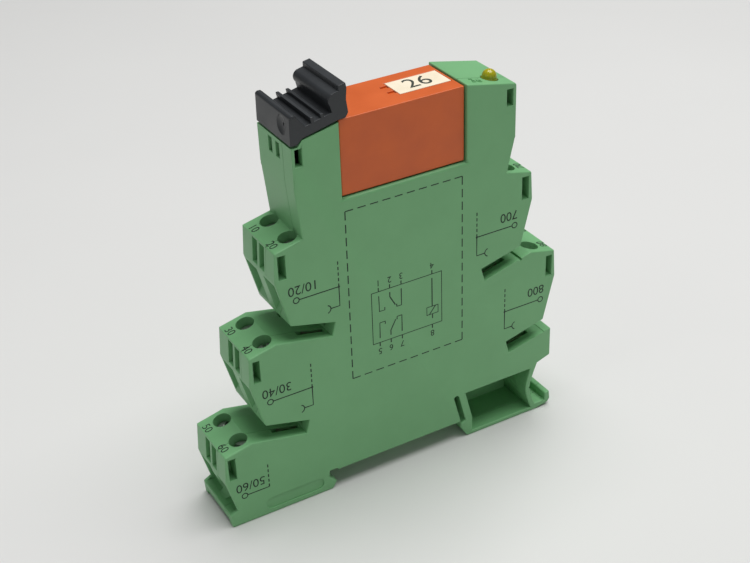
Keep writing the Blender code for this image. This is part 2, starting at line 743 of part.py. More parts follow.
def bridge_channel(level):
    """The shaft that leads a bridge tongue to the inner end of its slot."""
    end = level.slot_end()
    near = end.x - level.side * (WALL + CHANNEL_SIDE)
    span = sorted((near, near - level.side * CHANNEL_WIDTH))
    return chamber(span[0], span[1], end.y - CHANNEL_DROP, level.at(0, -CAGE_TOP - CAGE_HEIGHT / 2).y)


def slit(level, sign):
    """The narrow opening from a slot's inner end to the tongue behind it."""
    end = level.slot_end()
    span = sorted((end.x + level.side * OVERCUT, end.x - level.side * SLIT_REACH))
    middle = sign * bar_y(level)
    return box((span[0], middle - SLIT_WIDTH / 2, end.y - SLIT_HEIGHT / 2),
               (span[1], middle + SLIT_WIDTH / 2, end.y + SLIT_HEIGHT / 2))


def floor_cut(level, start, length, depth, low_y, high_y):
    """A cut into the floor of a bridge slot, placed by its distance from the slot's inner end."""
    top, bottom = level.slot()
    down = (bottom - top).normalized()
    out = Vector((level.side * math.cos(SLOT_TILT), math.sin(SLOT_TILT)))
    near = bottom + out * start
    far = near + out * length
    points = [near - down * OVERCUT, near + down * depth, far + down * depth, far - down * OVERCUT]
    return plate([tuple(point) for point in points], low_y, high_y)


def floor_slit(level, sign):
    """The comb groove near the inner end of a bridge slot."""
    middle = sign * TERMINAL_Y
    return floor_cut(level, FLOOR_SLIT_START, FLOOR_SLIT_LENGTH, FLOOR_SLIT_DEPTH,
                     middle - SLIT_WIDTH / 2, middle + SLIT_WIDTH / 2)


def floor_groove(level):
    """The fine groove across the floor of a bridge slot."""
    return floor_cut(level, FLOOR_GROOVE_START, FLOOR_GROOVE_WIDTH, FLOOR_GROOVE_DEPTH,
                     -HALF - OVERCUT, HALF + OVERCUT)


def bar_y(level):
    """Distance of a level's contact bars from the middle plane."""
    if level.side > 0:
        return TERMINAL_Y
    return PIN_ROW_Y + (LEFT_LEVELS.index(level) - 1) * BAR_SPACING


def tower_cavity():
    floor_x = LEFT_LEVELS[0].ridge().x
    lean = (TOWER_FLOOR_Z - LEFT_LEVELS[0].ridge().y) / (TOWER_BEND_Z - LEFT_LEVELS[0].ridge().y)
    outer_at_floor = floor_x + lean * (TOWER_LEFT + TOWER_BEND_IN - floor_x)
    points = [
        (outer_at_floor + WALL, TOWER_FLOOR_Z),
        (TOWER_LEFT + WALL + TOWER_BEND_IN, TOWER_BEND_Z),
        (TOWER_LEFT + WALL, TOWER_ROOF_RIGHT_Z + OVERCUT),
        (WINDOW_LEFT + OVERCUT, TOWER_ROOF_RIGHT_Z + OVERCUT),
        (WINDOW_LEFT + OVERCUT, TOWER_FLOOR_Z),
    ]
    return plate(points, -TOWER_CAVITY_WIDTH / 2, TOWER_CAVITY_WIDTH / 2)


def pocket():
    """The hollow of the sprung foot, open to the printed face."""
    arm_right = SEAT_RIGHT + ARM_SLOT_WIDTH + ARM_THICKNESS
    roof_z = ARM_SLOT_TOP_Z - POCKET_ROOF
    points = [
        (arm_right - ARM_LEAN, roof_z),
        (arm_right, SEAT_Z),
        (arm_right, FOOT_FLOOR),
        (FOOT_BOTTOM_RIGHT - SPRING_WALL, FOOT_FLOOR),
        (SPRING_WAIST_X + WAIST_FLARE - SPRING_WALL, SPRING_WAIST_Z - SPRING_STEP),
        (SPRING_WAIST_X - SPRING_WALL, SPRING_WAIST_Z),
        (SPRING_WAIST_X + WAIST_ROUND - SPRING_WALL, SPRING_WAIST_Z + WAIST_RISE),
        (BLOCK_RIGHT - BLOCK_INSET - SPRING_LEAN - SPRING_WALL, roof_z),
    ]
    return plate(points, -HALF - OVERCUT, HALF - POCKET_BACK)


def pill():
    """The shallow round-ended marking recess on the left foot."""
    quarter = math.pi / 2
    points = arc(PILL_LEFT, PILL_Z, PILL_RADIUS, quarter, 3 * quarter)
    points += arc(PILL_RIGHT, PILL_Z, PILL_RADIUS, -quarter, quarter)
    return plate(points, -HALF - OVERCUT, -HALF + PILL_DEPTH)


def lever_bearings():
    reach = TRUNNION_LENGTH / 2 + CLEARANCE
    radius = TRUNNION_RADIUS + TRUNNION_CLEARANCE
    return rod((PIVOT_X, -reach, PIVOT_Z), (PIVOT_X, reach, PIVOT_Z), radius,
               segments=ROUND_SEGMENTS)


def pin_places():
    """Name, x and side of each relay pin."""
    places = []
    for label, x in zip(("make", "common", "break"), PIN_CONTACT_X):
        places += [(f"{label}_front", x, -1), (f"{label}_rear", x, 1)]
    return places + [("coil_front", PIN_COIL_X, -1), ("coil_rear", PIN_COIL_X, 1)]


def pin_slot(x, sign):
    half_x = PIN_THICKNESS / 2 + CLEARANCE
    half_y = PIN_WIDTH / 2 + CLEARANCE
    return box((x - half_x, sign * PIN_ROW_Y - half_y, CHAMBER_TOP - OVERCUT),
               (x + half_x, sign * PIN_ROW_Y + half_y, LEDGE_Z + OVERCUT))


def make_base():
    body = plate(body_outline(), -HALF, HALF)
    low_right = PIN_CONTACT_X[2] + 2 * WALL
    cut(body, chamber(CHAMBER_LEFT, CHAMBER_RIGHT, ARM_SLOT_TOP_Z + WALL, CHAMBER_TOP))
    cut(body, chamber(CHAMBER_LEFT, low_right, SEAT_Z + 2 * WALL, ARM_SLOT_TOP_Z + 2 * WALL))
    for level in LEVELS:
        cut(body, wing(level), *terminal_cutters(level))
    for level in (LEFT_LEVELS[1], RIGHT_LEVELS[1]):
        cut(body, bridge_channel(level))
    for level in BRIDGED_LEVELS:
        cut(body, floor_groove(level))
        for sign in (-1, 1):
            cut(body, slit(level, sign), floor_slit(level, sign))
    cut(body, tower_cavity(), lever_bearings(), pocket(), pill())
    toe_y = TOE_WIDTH / 2 + CLEARANCE
    cut(body, box((WINDOW_LEFT - OVERCUT, -toe_y, TOWER_FLOOR_Z),
                  (PIVOT_X + TOE_REACH + 2 * CLEARANCE, toe_y, LEDGE_Z + OVERCUT)))
    cut(body, *(pin_slot(x, sign) for _, x, sign in pin_places()))
    for sign in (-1, 1):
        cut(body, snap_window(TOWER_LEFT, 1, TOWER_TOP_Z - TOWER_SNAP_DROP, TOWER_SNAP_HEIGHT, sign))
        cut(body, snap_window(LED_TOWER_RIGHT, -1, LED_TOWER_LOW_Z - SNAP_DROP, SNAP_HEIGHT, sign))
        cut(body, end_slot(END_SLOT_Y + sign * END_SLOT_PITCH / 2))
    cut(body, led_room(), led_bore(), foot_recess(), foot_scoop())
    front = body.copy()
    front.data = body.data.copy()
    WORK.objects.link(front)
    common(body, box((-FAR, SEAM_Y + SEAM_GAP / 2, -FAR), (FAR, FAR, 2 * FAR)))
    common(front, box((-FAR, -FAR, -FAR), (FAR, SEAM_Y - SEAM_GAP / 2, 2 * FAR)))
    part("rear_shell", body, GREEN)
    part("front_cover", front, GREEN_FRONT)


def end_slot(middle):
    """A slot through the end wall of the left tower, below the lever."""
    high = TOWER_TOP_Z - END_SLOT_DROP
    return box((TOWER_LEFT - OVERCUT, middle - END_SLOT_WIDTH / 2, high - END_SLOT_HEIGHT),
               (TOWER_LEFT + 2 * WALL, middle + END_SLOT_WIDTH / 2, high))


def foot_recess():
    """The sloped hollow between the two cheeks of the left foot's end."""
    inner = FOOT_LEFT + FOOT_HOLLOW_TOP
    points = [
        (FOOT_LEFT - OVERCUT, FOOT_HOLLOW_Z),
        (inner, FOOT_HOLLOW_Z),
        (inner + FOOT_HOLLOW_RUN, 0.0),
        (inner + FOOT_HOLLOW_RUN, -OVERCUT),
        (FOOT_LEFT - OVERCUT, -OVERCUT),
    ]
    return plate(points, -HALF + FOOT_CHEEK, HALF - FOOT_CHEEK)


def foot_scoop():
    """The curved ramp above the left foot's lip, between its cheeks."""
    radius = SCOOP_BACK_X - FOOT_LEFT - SCOOP_LIP
    curve = arc(SCOOP_BACK_X - radius, SCOOP_FLOOR_Z + radius, radius, -math.pi / 2, 0.0)
    outside = FOOT_LEFT - 2 * OVERCUT
    points = [(outside, SCOOP_FLOOR_Z), *curve, (SCOOP_BACK_X, SCOOP_TOP_Z), (outside, SCOOP_TOP_Z)]
    return plate(points, -HALF + SCOOP_CHEEK, HALF - SCOOP_CHEEK)


def led_room():
    return chamber(WINDOW_RIGHT + WALL, LED_TOWER_RIGHT - LED_END_WALL, LEDGE_Z - LED_FLOOR,
                   LED_TOWER_LOW_Z - LED_ROOF)


def led_bore():
    return rod((LED_X, LED_Y, LED_TOWER_LOW_Z - LED_ROOF - OVERCUT),
               (LED_X, LED_Y, LED_TOWER_HIGH_Z + OVERCUT), LED_RADIUS + CLEARANCE)


def cap_outline():
    """The lever's cap seen from the printed face, clockwise from its lower left corner."""
    left = TOWER_LEFT - LEVER_PROUD
    low = TOWER_TOP_Z + LEVER_GAP
    top = low + CAP_HEIGHT
    groove = left + RIM_THICKNESS + GROOVE_RUN
    horn_back = WINDOW_LEFT + HORN_BACK
    horn_front = WINDOW_LEFT + HORN_FRONT
    points = [
        (left, low),
        *arc(left + CAP_DRAFT + RIM_ROUND, top - RIM_ROUND, RIM_ROUND, math.pi, math.pi / 2, RIM_STEPS),
        *arc(left + RIM_THICKNESS - RIM_ROUND, top - RIM_ROUND, RIM_ROUND, math.pi / 2, 0.0, RIM_STEPS),
        (groove - GROOVE_RUN / 2, top - GROOVE_CURVE * GROOVE_DEPTH),
        (groove, top - GROOVE_DEPTH),
        (WINDOW_LEFT - NECK_IN, top - NECK_DROP),
    ]
    points += arc(WINDOW_LEFT - ROLL_IN, top + ROLL_RISE, ROLL_RADIUS, ROLL_START, ROLL_END)
    points += [
        (horn_back, top + HORN_STEP_RISE),
        (horn_back, top + HORN_BACK_RISE),
        (horn_front, top + HORN_RISE),
        (horn_front + HORN_BACK, top + HORN_RISE - HORN_ROUND),
        (horn_front, top + HORN_WAIST_RISE),
        (WINDOW_LEFT + HORN_LIP, top - HORN_LIP_DROP),
        (WINDOW_LEFT + HORN_HEEL, RELAY_TOP + HORN_OVER_RELAY),
        (WINDOW_LEFT, TOWER_ROOF_RIGHT_Z + ROOF_GAP),
        (TOWER_LEFT + TOWER_CORNER, TOWER_ROOF_LEFT_Z + CLEARANCE),
        (TOWER_LEFT + TOWER_SHOULDER, low),
    ]
    return points


def leg_outline():
    """The lever's leg, from its eye up to the cap."""
    return [
        (PIVOT_X - LEG_BACK, PIVOT_Z),
        (PIVOT_X + LEG_KNEE_X, PIVOT_Z + LEG_KNEE_Z),
        (PIVOT_X + LEG_HIP_X, RELAY_TOP + LEG_HIP_RISE),
        (PIVOT_X + LEG_HIP_X + LEG_THICKNESS, RELAY_TOP + LEG_HIP_RISE),
        (PIVOT_X + LEG_KNEE_X + LEG_THICKNESS, PIVOT_Z + LEG_KNEE_Z),
        (PIVOT_X + LEG_FRONT, PIVOT_Z),
    ]


def toe_outline():
    """The ejector toe that reaches under the relay's end."""
    tip = PIVOT_X + TOE_REACH
    return [
        (PIVOT_X, LEDGE_Z),
        (tip - TOE_CHAMFER, LEDGE_Z),
        (tip, LEDGE_Z - TOE_CHAMFER),
        (tip - TOE_DRAFT, LEDGE_Z - TOE_HEIGHT),
        (PIVOT_X, LEDGE_Z - TOE_HEIGHT),
    ]


def rib_outline(index):
    """One of the thin grip ribs in the cap's trough."""
    top = TOWER_TOP_Z + LEVER_GAP + CAP_HEIGHT
    x = TOWER_LEFT - LEVER_PROUD + RIB_FIRST + index * RIB_PITCH
    crest = top - RIB_TOP_DROP + index * RIB_TOP_STEP
    return [
        (x, top - RIB_FOOT_DROP),
        (x + RIB_WIDTH, top - RIB_FOOT_DROP),
        (x + RIB_WIDTH - RIB_LEAN, crest),
        (x - RIB_LEAN, crest),
    ]


def make_lever():
    """Cap with horn and grip ribs, leg, trunnions and toe."""
    half = LEVER_WIDTH / 2
    lever = plate(cap_outline(), -half, half)
    for index in range(2):
        join(lever, plate(rib_outline(index), -half, half))
    join(lever, plate(leg_outline(), -LEG_WIDTH / 2, LEG_WIDTH / 2))
    eye = rod((PIVOT_X, -LEG_WIDTH / 2, PIVOT_Z), (PIVOT_X, LEG_WIDTH / 2, PIVOT_Z),
              TRUNNION_RADIUS + EYE_WALL)
    trunnion = rod((PIVOT_X, -TRUNNION_LENGTH / 2, PIVOT_Z), (PIVOT_X, TRUNNION_LENGTH / 2, PIVOT_Z),
                   TRUNNION_RADIUS, segments=ROUND_SEGMENTS)
    join(lever, eye, trunnion, plate(toe_outline(), -TOE_WIDTH / 2, TOE_WIDTH / 2))
    face_x = TOWER_LEFT - LEVER_PROUD
    dimple_z = TOWER_TOP_Z + LEVER_GAP + CAP_HEIGHT - DIMPLE_DROP
    cut(lever, rod((face_x - OVERCUT, DIMPLE_Y, dimple_z), (face_x + DIMPLE_DEPTH, DIMPLE_Y, dimple_z),
                   DIMPLE_RADIUS))
    lever = part("eject_lever", lever, BLACK)
    set_origin(lever, (PIVOT_X, 0.0, PIVOT_Z))


def make_relay():
    half = RELAY_WIDTH / 2
    case = box((RELAY_LEFT, -half, RELAY_BOTTOM), (RELAY_RIGHT, half, RELAY_TOP))
    inner = half - CASE_WALL
    cut(case, box((RELAY_LEFT + CASE_WALL, -inner, RELAY_BOTTOM - OVERCUT),
                  (RELAY_RIGHT - CASE_WALL, inner, RELAY_TOP - CASE_WALL)))
    tag_right = RELAY_RIGHT - TAG_END
    tag_left = tag_right - TAG_LENGTH
    half_tag = TAG_WIDTH / 2
    recess_z = RELAY_TOP - TAG_RECESS
    cut(case, box((tag_left, TAG_Y - half_tag, recess_z), (tag_right, TAG_Y + half_tag, RELAY_TOP + OVERCUT)))
    for sign in (-1, 1):
        notch_y = TAG_Y + sign * TAG_NOTCH_Y
        cut(case, box((tag_left - TAG_NOTCH_LENGTH, notch_y - TAG_NOTCH_WIDTH / 2, recess_z),
                      (tag_left + TAG_NOTCH_LAP, notch_y + TAG_NOTCH_WIDTH / 2, RELAY_TOP + OVERCUT)))
    part("relay_case", case, ORANGE)
    tag = box((tag_left + FIT, TAG_Y - half_tag + FIT, RELAY_TOP - TAG_THICKNESS),
              (tag_right - FIT, TAG_Y + half_tag - FIT, RELAY_TOP))
    part("marker_tag", tag, CREAM)
    fit = CASE_WALL + INNER_GAP
    base_top = RELAY_BOTTOM + RELAY_BASE_HEIGHT
    base = box((RELAY_LEFT + fit, -half + fit, RELAY_BOTTOM), (RELAY_RIGHT - fit, half - fit, base_top))
    half_x = PIN_THICKNESS / 2 + FIT
    half_y = PIN_WIDTH / 2 + FIT
    for _, x, sign in pin_places():
        y = sign * PIN_ROW_Y
        cut(base, box((x - half_x, y - half_y, RELAY_BOTTOM - OVERCUT),
                      (x + half_x, y + half_y, base_top + OVERCUT)))
    part("relay_base", base, ORANGE_BASE)
    make_coil(base_top)
    make_magnet(base_top)


def make_coil(floor):
    """Bobbin, winding and core, lying along the relay."""
    coil_z = floor + COIL_Z_ABOVE_BASE
    half_flange = FLANGE_SIZE / 2
    bobbin = rod((COIL_LEFT, 0, coil_z), (COIL_RIGHT, 0, coil_z), BOBBIN_RADIUS)
    for x in (COIL_LEFT, COIL_RIGHT - FLANGE_THICKNESS):
        join(bobbin, box((x, -half_flange, coil_z - half_flange),
                         (x + FLANGE_THICKNESS, half_flange, coil_z + half_flange)))
    cut(bobbin, rod((COIL_LEFT - OVERCUT, 0, coil_z), (COIL_RIGHT + OVERCUT, 0, coil_z), CORE_RADIUS + FIT))
    part("relay_bobbin", bobbin, CREAM)
    inset = FLANGE_THICKNESS + INNER_GAP
    winding = rod((COIL_LEFT + inset, 0, coil_z), (COIL_RIGHT - inset, 0, coil_z), WINDING_RADIUS)
    cut(winding, rod((COIL_LEFT, 0, coil_z), (COIL_RIGHT, 0, coil_z), BOBBIN_RADIUS + INNER_GAP))
    part("relay_winding", winding, COPPER)
    core = rod((COIL_LEFT - CORE_PROUD, 0, coil_z), (COIL_RIGHT, 0, coil_z), CORE_RADIUS)
    part("relay_core", core, STEEL)


def make_magnet(floor):
    """Yoke, armature and the card that pushes the contact blades."""
    coil_z = floor + COIL_Z_ABOVE_BASE
    half_flange = FLANGE_SIZE / 2
    yoke_left = COIL_RIGHT + INNER_GAP
    yoke_right = yoke_left + YOKE_THICKNESS
    yoke_low = floor + INNER_GAP
    yoke_top = coil_z + half_flange
    heel_x = COIL_LEFT - CORE_PROUD
    side = PIN_ROW_Y - YOKE_SIDE
    yoke = plate([
        (heel_x, yoke_low), (yoke_right, yoke_low), (yoke_right, yoke_top), (yoke_left, yoke_top),
        (yoke_left, yoke_low + YOKE_THICKNESS), (heel_x, yoke_low + YOKE_THICKNESS),
    ], -side, side)
    join(yoke, box((yoke_left, -YOKE_WIDTH / 2, coil_z - half_flange / 2),
                   (yoke_right, YOKE_WIDTH / 2, yoke_top)))
    part("relay_yoke", yoke, STEEL_YOKE)
    hinge = (heel_x - INNER_GAP, 0.0, yoke_low)
    armature_top = yoke_top - ARMATURE_DROP
    armature_right = heel_x - ARMATURE_GAP
    armature_left = armature_right - ARMATURE_THICKNESS
    armature = box((armature_left, -side, yoke_low), (armature_right, side, armature_top))
    armature = part("relay_armature", armature, STEEL_ARMATURE)
    set_origin(armature, hinge)
    card_z = armature_top - CARD_HEIGHT
    card_left = PIN_CONTACT_X[1] + BLADE_THICKNESS / 2 + CLEARANCE
    stem_y = PIN_ROW_Y - BLADE_WIDTH / 2 - CLEARANCE
    head_y = PIN_ROW_Y + BLADE_WIDTH / 3
    card = box((card_left + CARD_STEP, -stem_y, card_z), (armature_left - FIT, stem_y, armature_top))
    join(card, box((card_left, -head_y, card_z + CARD_STEP),
                   (card_left + CARD_HEAD, head_y, armature_top - CARD_STEP)))
    card = part("relay_card", card, CREAM_CARD)
    set_origin(card, hinge)
    make_contacts(floor, card_z - BUTTON_DROP)


def make_contacts(floor, contact_z):
    """Blades on the middle pins, with a fixed contact each side of them."""
    half_pin = PIN_THICKNESS / 2
    half_blade = BLADE_WIDTH / 2
    heel_z = floor + PIN_HEEL
    blade_x = PIN_CONTACT_X[1]
    for label, x, sign in pin_places():
        y = sign * PIN_ROW_Y
        pin = box((x - half_pin, y - PIN_WIDTH / 2, PIN_TIP), (x + half_pin, y + PIN_WIDTH / 2, heel_z))
        if label.startswith(("make", "break")):
            join(pin, box((x - half_pin, y - half_blade, floor + PIN_STEP),
                          (x + half_pin, y + half_blade, contact_z + PIN_ABOVE_BUTTON)))
            reach = BUTTON_HALF + (INNER_GAP if label.startswith("make") else CONTACT_GAP)
            face_x = blade_x + math.copysign(reach, x - blade_x)
            join(pin, rod((x, y, contact_z), (face_x, y, contact_z), BUTTON_RADIUS, segments=BUTTON_SIDES))
        part(f"relay_pin_{label}", pin, TINNED)
    for sign, place in ((-1, "front"), (1, "rear")):
        y = sign * PIN_ROW_Y
        root_z = heel_z + INNER_GAP
        blade = box((blade_x - BLADE_THICKNESS / 2, y - half_blade, root_z),
                    (blade_x + BLADE_THICKNESS / 2, y + half_blade, contact_z + BUTTON_DROP + CARD_HEIGHT))
        join(blade, rod((blade_x - BUTTON_HALF, y, contact_z), (blade_x + BUTTON_HALF, y, contact_z),
                        BUTTON_RADIUS, segments=BUTTON_SIDES))
        blade = part(f"relay_blade_{place}", blade, BRONZE)
        set_origin(blade, (blade_x, y, root_z))


def make_clamps():
    for level in LEVELS:
        for sign, place in ((-1, "front"), (1, "rear")):
            frame = level.frame(sign * TERMINAL_Y)
            make_screw(f"screw_{level.name}_{place}", frame)
            make_cage(f"cage_{level.name}_{place}", frame)


def make_screw(name, frame):
    """Slotted cheese-head screw on the frame's upright axis."""
    screw = rod((0, 0, -HEAD_TOP - HEAD_HEIGHT), (0, 0, -HEAD_TOP), HEAD_RADIUS)
    join(screw, rod((0, 0, -SCREW_TIP), (0, 0, -HEAD_TOP - HEAD_HEIGHT / 2), SCREW_RADIUS,
                    segments=ROD_SEGMENTS))
    cut(screw, box((-HEAD_RADIUS - OVERCUT, -DRIVE_WIDTH / 2, -HEAD_TOP - DRIVE_DEPTH),
                   (HEAD_RADIUS + OVERCUT, DRIVE_WIDTH / 2, 0)))
    screw.data.transform(frame)
    screw = part(name, screw, ZINC)
    set_origin(screw, frame.translation)


def make_cage(name, frame):
    """Box clamp with a wire window and a bored roof."""
    half_length = CAGE_LENGTH / 2
    half_width = CAGE_WIDTH / 2
    cage = box((-half_length, -half_width, -CAGE_TOP - CAGE_HEIGHT), (half_length, half_width, -CAGE_TOP))
    window_y = half_width - CAGE_SIDE
    roof_z = -CAGE_TOP - CAGE_ROOF
    cut(cage, box((-CAGE_LENGTH, -window_y, -CAGE_TOP - CAGE_HEIGHT + CAGE_FLOOR),
                  (CAGE_LENGTH, window_y, roof_z)))
    cut(cage, rod((0, 0, roof_z - OVERCUT), (0, 0, 0), SCREW_RADIUS + INNER_GAP, segments=ROD_SEGMENTS))
    cage.data.transform(frame)
    cage = part(name, cage, NICKEL)
    set_origin(cage, frame.translation)


def socket(x, sign):
    """The spring socket that takes a relay pin."""
    y = sign * PIN_ROW_Y
    top = CHAMBER_TOP - CLEARANCE
    return box((x - SOCKET_LENGTH / 2, y - SOCKET_WIDTH / 2, top - SOCKET_HEIGHT),
               (x + SOCKET_LENGTH / 2, y + SOCKET_WIDTH / 2, top))


def socket_hole(x, sign):
    y = sign * PIN_ROW_Y
    half_x = PIN_THICKNESS / 2 + FIT
    half_y = PIN_WIDTH / 2 + FIT
    return box((x - half_x, y - half_y, PIN_TIP - CLEARANCE), (x + half_x, y + half_y, CHAMBER_TOP + OVERCUT))


def tongue(level, sign, reach):
    frame = level.frame(sign * TERMINAL_Y)
    return box((-CAGE_LENGTH / 2 + TONGUE_START, -TONGUE_WIDTH / 2, -TONGUE_TOP - TONGUE_THICKNESS),
               (reach, TONGUE_WIDTH / 2, -TONGUE_TOP), frame)


def branch(level, start_z, low_y):
    """The strip that runs from a bar to the inner end of the level's bridge slot."""
    end = level.slot_end()
    drop_x = end.x - level.side * (WALL + BRANCH_SET)
    tip_x = end.x - level.side * BRANCH_TIP
    path = [Vector((drop_x, start_z)), Vector((drop_x, end.y)), Vector((tip_x, end.y))]
    return strip(path, BRANCH_HEIGHT, low_y + BRANCH_STEP, low_y + BAR_THICKNESS - BRANCH_STEP)


def riser(pin_x, start, low_y):
    """The bar from a clamp's tongue to below a relay pin, then up to its socket."""
    socket_low = CHAMBER_TOP - CLEARANCE - SOCKET_HEIGHT / 2
    path = [start, Vector((pin_x, start.y)), Vector((pin_x, socket_low))]
    return strip(path, BAR_HEIGHT, low_y, low_y + BAR_THICKNESS)


def make_contact_bars():
    """Bars from the left clamps to the relay sockets, each level in its own plane."""
    reach = CAGE_LENGTH / 2 + BAR_REACH
    for level, pin_x in zip(LEFT_LEVELS, (PIN_CONTACT_X[1], PIN_CONTACT_X[0], PIN_CONTACT_X[2])):
        start = level.at(reach - BAR_START, -TONGUE_TOP - TONGUE_THICKNESS / 2)
        for sign, place in ((-1, "front"), (1, "rear")):
            low_y = sign * bar_y(level) - BAR_THICKNESS / 2
            bar = riser(pin_x, start, low_y)
            join(bar, tongue(level, sign, reach), socket(pin_x, sign))
            if level in BRIDGED_LEVELS:
                join(bar, branch(level, start.y, low_y))
            cut(bar, socket_hole(pin_x, sign))
            part(f"busbar_{level.name}_{place}", bar, COPPER_BAR)


def make_coil_bars():
    """Bent strips that join each coil level's two clamps and lead to one coil socket."""
    reach = CAGE_LENGTH / 2 + COIL_BAR_REACH
    outside = TERMINAL_Y + TONGUE_WIDTH / 2
    inside = TERMINAL_Y - TONGUE_WIDTH / 2
    inner = CAGE_LENGTH / 2 + COIL_BAR_YOKE
    for level, sign in zip(RIGHT_LEVELS, (1, -1)):
        frame = level.frame(0.0)
        bar = box((-CAGE_LENGTH / 2 + TONGUE_START, -outside, -TONGUE_TOP - TONGUE_THICKNESS),
                  (reach, outside, -TONGUE_TOP), frame)
        cut(bar, box((-CAGE_LENGTH, -inside, -TONGUE_TOP - TONGUE_THICKNESS - OVERCUT),
                     (inner, inside, -TONGUE_TOP + OVERCUT), frame))
        start = level.at(reach - COIL_BAR_START, -TONGUE_TOP - TONGUE_THICKNESS / 2)
        join(bar, riser(PIN_COIL_X, start, sign * PIN_ROW_Y - BAR_THICKNESS / 2))
        join(bar, socket(PIN_COIL_X, sign))
        for place in (-1, 1):
            join(bar, branch(level, start.y, place * TERMINAL_Y - BAR_THICKNESS / 2))
        drop_x = level.slot_end().x - level.side * (WALL + BRANCH_SET)
        half_cross = BRANCH_HEIGHT / 2 - BRANCH_STEP
        join(bar, box((drop_x - half_cross, -TERMINAL_Y, start.y - BAR_THICKNESS / 2),
                      (drop_x + half_cross, TERMINAL_Y, start.y + BAR_THICKNESS / 2)))
        cut(bar, socket_hole(PIN_COIL_X, sign))
        part(f"busbar_{level.name}", bar, COPPER_BAR)


def make_indicator():
    """Lamp in the right tower's roof, on the small board below it."""
    base_z = LED_ROOF_Z - LED_BODY
    dome = arc(0.0, LED_ROOF_Z + LED_DOME - LED_RADIUS, LED_RADIUS, math.pi / 2, 0.0)
    dome[0] = (0.0, LED_ROOF_Z + LED_DOME)
    lamp = turned(dome + [(LED_RADIUS, base_z), (0.0, base_z)], LED_X, LED_Y)
    lead_z = base_z - LEAD_LENGTH
    half_lead = LEAD_SIZE / 2
    board_front = BOARD_Y - BOARD_THICKNESS / 2
    for sign in (-1, 1):
        x = LED_X + sign * LEAD_PITCH / 2
        join(lamp, box((x - half_lead, LED_Y - half_lead, lead_z),
                       (x + half_lead, LED_Y + half_lead, base_z + LEAD_ROOT)))
        join(lamp, box((x - half_lead, LED_Y - half_lead, lead_z - LEAD_SIZE),
                       (x + half_lead, board_front - FIT, lead_z)))
    part("indicator_led", lamp, YELLOW)
    left = WINDOW_RIGHT + WALL + CLEARANCE
    right = LED_TOWER_RIGHT - LED_END_WALL - CLEARANCE
    low = LEDGE_Z - LED_FLOOR + CLEARANCE
    high = LED_TOWER_LOW_Z - LED_ROOF - CLEARANCE
    board_back = board_front + BOARD_THICKNESS
    part("circuit_board", box((left, board_front, low), (right, board_back, high)), BOARD_GREEN)
    face = board_back + FIT
    diode_x = left + DIODE_X
    diode_y = face + DIODE_RADIUS
    diode_z = low + DIODE_Z
    diode = rod((diode_x, diode_y, diode_z), (diode_x + DIODE_LENGTH, diode_y, diode_z), DIODE_RADIUS)
    part("diode", diode, BLACK_PART)
    chip_x = left + RESISTOR_X
    chip_z = low + RESISTOR_Z
    resistor = box((chip_x, face, chip_z),
                   (chip_x + RESISTOR_LENGTH, face + RESISTOR_THICKNESS, chip_z + RESISTOR_HEIGHT))
    part("resistor", resistor, CERAMIC)


clear_scene()
PARTS = collection("industrial_control_relay")
WORK = collection("cutters")
GREEN = material("housing_green", "#5f8f66", 0.5)
GREEN_FRONT = material("cover_green", "#5f8f66", 0.5)
BLACK = material("lever_black", "#2f3236", 0.55)
ORANGE = material("relay_orange", "#c05a34", 0.45)
ORANGE_BASE = material("relay_base_orange", "#a84c2c", 0.5)
CREAM = material("tag_cream", "#efe6cf", 0.6)
CREAM_CARD = material("card_cream", "#e8dec2", 0.55)
COPPER = material("winding_copper", "#b06a3a", 0.35, 0.8)
STEEL = material("core_steel", "#9a9c9e", 0.4, 1.0)
STEEL_YOKE = material("yoke_steel", "#8f9194", 0.45, 1.0)
STEEL_ARMATURE = material("armature_steel", "#a2a4a6", 0.4, 1.0)
TINNED = material("pin_tin", "#c4c4c0", 0.35, 1.0)
BRONZE = material("blade_bronze", "#c09a5a", 0.35, 1.0)
ZINC = material("screw_zinc", "#b7b8b6", 0.35, 1.0)
NICKEL = material("cage_nickel", "#a9a8a2", 0.4, 1.0)
COPPER_BAR = material("bar_tinned_copper", "#bfb8a8", 0.4, 1.0)
YELLOW = material("lamp_yellow", "#b9a81c", 0.25)
BOARD_GREEN = material("board_laminate", "#3f6b45", 0.5)
BLACK_PART = material("diode_black", "#222222", 0.5)
CERAMIC = material("resistor_ceramic", "#d8d4cc", 0.5)
make_base()
make_lever()
make_relay()
make_clamps()
make_contact_bars()
make_coil_bars()
make_indicator()
bpy.data.collections.remove(WORK)
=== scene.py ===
"""Looks of an industrial control relay: a slim green base, an orange plug-in relay and a black lever.

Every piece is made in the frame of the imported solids, in metres, with the printed face at -Y.
"""
import json
import math

import bmesh
import bpy
from mathutils import Matrix, Vector, kdtree

